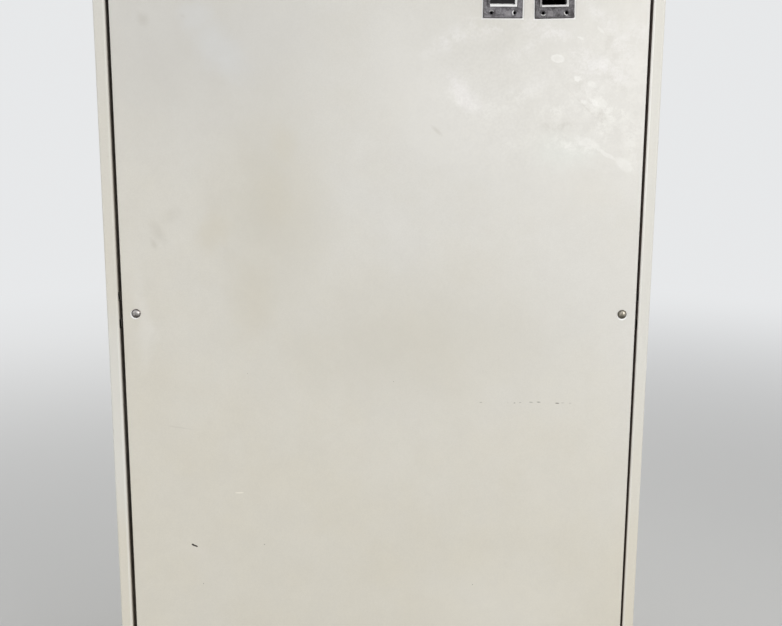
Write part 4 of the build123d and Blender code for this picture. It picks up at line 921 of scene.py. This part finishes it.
def die_casting(side, turn, left_bevel_highlight, cast_light, highlight_colour, glints, patch_x):
    """Casting of one bezel, with painted highlights on its bevel and countersinks, and painted shade on its
    edges, round its lip and in its bores.
    """
    finish, tree, shader, place = new_finish(f"{side}_bezel_casting", 0.5, 0.35)
    local = own_frame(tree, place, f"{side}_bezel", turn)
    from_window = offset_from(tree, local, (WINDOW_X, 0.0, 0.0))
    across = axis_of(tree, from_window, "X")
    depth = axis_of(tree, place, "Y")
    coarse = cloud(tree, place, 150.0, 3.0, 0.62, 0.5)
    speckle = cloud(tree, place, 520.0, 3.0, 0.7)
    skin = reach(tree, plus(tree, times(tree, speckle, 0.4), coarse), 0.5, 0.9)
    darkest, lightest = cast_light
    grey = blend_colours(tree, skin, screen_colour(*darkest), screen_colour(*lightest))
    from_patch = offset_from(tree, local, (patch_x, 0.0, PATCH_Z))
    patch = times(tree, reach(tree, largest_side(tree, from_patch, 0.0036, 0.0036), 1.1, 0.8), 0.5)
    grey = blend_colours(tree, patch, grey, screen_colour(150, 147, 149))
    # Painted shade: the outer edges and a ring round the lip are painted dark, for the shade on their
    # chamfers.
    edge = reach(tree, largest_side(tree, local, BEZEL_W / 2, BEZEL_H / 2), 0.95, 1.0)
    lip_share = largest_side(tree, from_window, WINDOW_W / 2 + LIP_W, WINDOW_H / 2 + LIP_W)
    lip_shade = times(tree, reach(tree, lip_share, 1.06, 1.0), reach(tree, lip_share, 0.97, 1.0))
    edge_and_lip_shade = larger(tree, times(tree, edge, 0.75), times(tree, lip_shade, 0.55))
    grey = blend_colours(tree, edge_and_lip_shade, grey, screen_colour(50, 47, 47))
    # Painted highlight: the window's bevel and a crescent in each countersink are painted near white; the
    # left bevel keeps less, as painted shade.
    inside = largest_side(tree, from_window, WINDOW_W / 2 + BEVEL_W, WINDOW_H / 2 + BEVEL_W)
    bevel = times(tree, reach(tree, inside, 1.008, 1.0), reach(tree, depth, FACE_Y, FACE_Y - 0.0016))
    left_side = reach(tree, across, -WINDOW_W / 2 + 0.0002, -WINDOW_W / 2 - 0.0002)
    bevel = times(tree, bevel, reach(tree, left_side, 0.0, 1.0, 1.0, left_bevel_highlight))
    sink_glints, bore_shade = [], []
    for x, (glint, strength) in ((-HOLE_X, glints[0]), (HOLE_X, glints[1])):
        for z in (-HOLE_Z, HOLE_Z):
            flat, radius = round_axis(tree, local, (x, 0.0, z))
            facing = wire(tree, "VectorMath", {0: flat, 1: glint}, operation="DOT_PRODUCT").outputs["Value"]
            lit = times(tree, reach(tree, radius, 0.0037, 0.0034), reach(tree, facing, 0.0006, 0.0018))
            sink_glints.append(times(tree, lit, strength))
            bore_shade.append(reach(tree, radius, 0.0022, 0.0019))
    sink_front = reach(tree, depth, FACE_Y - FLANGE_T + 0.0022, FACE_Y - FLANGE_T + 0.0016)
    bright = larger(tree, bevel, times(tree, all_of(tree, sink_glints), sink_front))
    skin_and_highlight = blend_colours(tree, bright, grey, screen_colour(*highlight_colour))
    # Painted shade: the screw bores are painted near black.
    shaded_bores = blend_colours(tree, all_of(tree, bore_shade), skin_and_highlight, screen_colour(16, 15, 15))
    set_colour(tree, shader, shaded_bores)
    tree.links.new(reach(tree, bright, 0.0, 1.0, 0.35, 0.1), shader.inputs["Metallic"])
    set_roughness(tree, shader, reach(tree, bright, 0.0, 1.0, 0.52, 0.34))
    set_relief(tree, shader, plus(tree, coarse, speckle), 0.00022, 0.7)
    dress(finish, f"{side}_bezel")


UP, DOWN, LEFT, DOWN_LEFT = (0.0, 0.0, 1.0), (0.0, 0.0, -1.0), (-1.0, 0.0, 0.0), (-0.7, 0.0, -0.7)
glints = ((UP, 0.35), (LEFT, 0.85))
die_casting("left", -0.07, 0.0, ((74, 71, 74), (136, 134, 138)), (250, 250, 249), glints, 0.0065)
glints = ((DOWN, 0.75), (DOWN_LEFT, 0.95))
die_casting("right", -1.57, 0.3, ((62, 59, 61), (120, 118, 121)), (228, 227, 226), glints, -0.0060)


# The pane that the left bezel still holds.
# Smoked acrylic, two millimetres thick, with a white band along its foot.

PANE_FOOT = 0.0012
low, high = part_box("left_lens")
smoked_pane, tree, shader, place = new_finish("smoked_pane", 0.12)
border = reach(tree, axis_of(tree, place, "Z"), low.z + PANE_FOOT + 0.0002, low.z + PANE_FOOT)
dusty = reach(tree, cloud(tree, place, 160.0, 5.0), 0.35, 0.75)
smoke = blend_colours(tree, dusty, screen_colour(24, 23, 24), screen_colour(38, 37, 38))
shader.inputs["Specular IOR Level"].default_value = 0.3
set_colour(tree, shader, blend_colours(tree, border, smoke, screen_colour(242, 242, 240)))
set_roughness(tree, shader, reach(tree, dusty, 0.0, 1.0, 0.08, 0.22))
dress(smoked_pane, "left_lens")


# Quarter-turn studs that hold the cover.
# Turned steel with a bright plate, domed heads with a cross recess, each riding captive in the cover sheet.
# The plate has dulled, and the edge of the head and its lower part are painted dark, as painted shade and the
# dark reflection of the ground.

TURNING_MARKS = 16000.0
STUD_PLATE = {
    "left": ((220, 217, 215), (190, 184, 180), (62, 52, 51), 0.2),
    "right": ((182, 176, 164), (144, 138, 124), (88, 84, 74), 0.42),
}
for side, (bright, dulled, shade_colour, roughness) in STUD_PLATE.items():
    for level in ("top", "middle", "bottom"):
        name = f"fastener_{side}_{level}"
        low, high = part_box(name)
        finish, tree, shader, place = new_finish(f"{name}_plate", roughness, 1.0)
        centre = ((low.x + high.x) / 2, FACE_Y, (low.z + high.z) / 2)
        flat, radius = round_axis(tree, place, centre)
        rings = wire(tree, "Math", {0: times(tree, radius, TURNING_MARKS)}, operation="SINE").outputs[0]
        tarnish = reach(tree, cloud(tree, place, 260.0, 5.0, 0.65), 0.35, 0.7)
        plate = blend_colours(tree, tarnish, screen_colour(*bright), screen_colour(*dulled))
        # Painted shade: darker round the edge of the head and over its lower part.
        rim_shade = times(tree, reach(tree, radius, 0.0034, 0.0058), 0.85)
        foot_shade = times(tree, reach(tree, axis_of(tree, flat, "Z"), 0.0008, -0.0038), 0.85)
        painted_shade = larger(tree, rim_shade, foot_shade)
        set_colour(tree, shader, blend_colours(tree, painted_shade, plate, screen_colour(*shade_colour)))
        uneven = reach(tree, tarnish, 0.0, 1.0, roughness, roughness + 0.18)
        set_roughness(tree, shader, uneven)
        set_relief(tree, shader, rings, 0.00002, 0.4)
        dress(finish, name)


# Studio: a plain pale floor, a pale surround, soft lamps and the camera at the photograph's place.
# None of it belongs to the object.

BACKGROUND = (0.80, 0.81, 0.82, 1.0)
shape = bmesh.new()
bmesh.ops.create_circle(shape, cap_ends=True, segments=64, radius=24.0)
floor_mesh = bpy.data.meshes.new("floor")
shape.to_mesh(floor_mesh)
shape.free()
floor = bpy.data.objects.new("floor", floor_mesh)
bpy.context.scene.collection.objects.link(floor)

floor_finish, tree, shader, place = new_finish("pale_floor", 0.75)
shader.inputs["Base Color"].default_value = (0.62, 0.62, 0.61, 1.0)
glow = wire(tree, "Emission", {"Color": BACKGROUND, "Strength": 1.0}).outputs["Emission"]
distance = wire(tree, "VectorMath", {0: place}, operation="LENGTH").outputs["Value"]
far_off = reach(tree, distance, 1.1, 4.5)
seen = tree.nodes.new("ShaderNodeLightPath").outputs["Is Camera Ray"]
fade = times(tree, far_off, seen)
both = tree.nodes.new("ShaderNodeMixShader")
tree.links.new(fade, both.inputs[0])
tree.links.new(shader.outputs["BSDF"], both.inputs[1])
tree.links.new(glow, both.inputs[2])
tree.links.new(both.outputs["Shader"], tree.nodes["Material Output"].inputs["Surface"])
floor_mesh.materials.append(floor_finish)

surround = bpy.data.worlds.new("surround")
surround.use_nodes = True
bpy.context.scene.world = surround
tree = surround.node_tree
ambient = tree.nodes["Background"]
ambient.inputs["Color"].default_value = (0.97, 0.98, 1.0, 1.0)
ambient.inputs["Strength"].default_value = 0.378
shown = wire(tree, "Background", {"Color": BACKGROUND, "Strength": 1.0})
path = tree.nodes.new("ShaderNodeLightPath")
plain_view = larger(
    tree,
    path.outputs["Is Camera Ray"],
    larger(tree, path.outputs["Is Glossy Ray"], path.outputs["Is Transmission Ray"]),
)
both = tree.nodes.new("ShaderNodeMixShader")
tree.links.new(plain_view, both.inputs[0])
tree.links.new(ambient.outputs["Background"], both.inputs[1])
tree.links.new(shown.outputs["Background"], both.inputs[2])
tree.links.new(both.outputs["Shader"], tree.nodes["World Output"].inputs["Surface"])


def soft_lamp(name, place, target, size, power, warmth, mirrored=True):
    lamp = bpy.data.lights.new(name, "AREA")
    lamp.shape = "SQUARE"
    lamp.size = size
    lamp.energy = power
    lamp.color = warmth
    holder = bpy.data.objects.new(name, lamp)
    holder.location = place
    holder.rotation_mode = "QUATERNION"
    holder.rotation_quaternion = (Vector(target) - Vector(place)).to_track_quat("-Z", "Y")
    holder.visible_camera = False
    holder.visible_glossy = mirrored
    bpy.context.scene.collection.objects.link(holder)


soft_lamp("window_lamp", (1.6, -2.2, 1.5), (0.2, -0.3, 1.0), 1.8, 37.0, (1.0, 0.99, 0.97))
soft_lamp("fill_lamp", (-2.2, -1.8, 0.65), (0.0, 0.0, 0.4), 1.1, 18.5, (1.0, 0.99, 0.98), mirrored=False)
soft_lamp("top_lamp", (0.3, 0.4, 4.2), (0.0, 0.0, 0.7), 2.6, 36.0, (1.0, 1.0, 1.0))
soft_lamp("back_lamp", (-1.8, 3.6, 2.4), (0.0, 0.3, 0.8), 2.4, 58.0, (1.0, 1.0, 1.0), mirrored=False)

FOCAL_PIXELS = 1078.8
IMAGE_WIDTH = 782
CAMERA_PLACE = (0.0029, -1.7896, 1.0608)
PITCH = radians(11.33)
YAW = radians(0.542)
ROLL = radians(-0.278)
view_line = Vector((sin(YAW) * cos(PITCH), cos(YAW) * cos(PITCH), -sin(PITCH)))
level = Vector((cos(YAW), -sin(YAW), 0.0))
upward = level.cross(view_line)
image_right = level * cos(ROLL) - upward * sin(ROLL)
image_up = level * sin(ROLL) + upward * cos(ROLL)
lens = bpy.data.cameras.new("camera")
lens.sensor_width = 36.0
lens.lens = lens.sensor_width * FOCAL_PIXELS / IMAGE_WIDTH
camera = bpy.data.objects.new("camera", lens)
turned = Matrix((image_right, image_up, -view_line)).transposed()
camera.matrix_world = Matrix.Translation(CAMERA_PLACE) @ turned.to_4x4()
bpy.context.scene.collection.objects.link(camera)
bpy.context.scene.camera = camera
bpy.context.scene.view_settings.view_transform = "Standard"
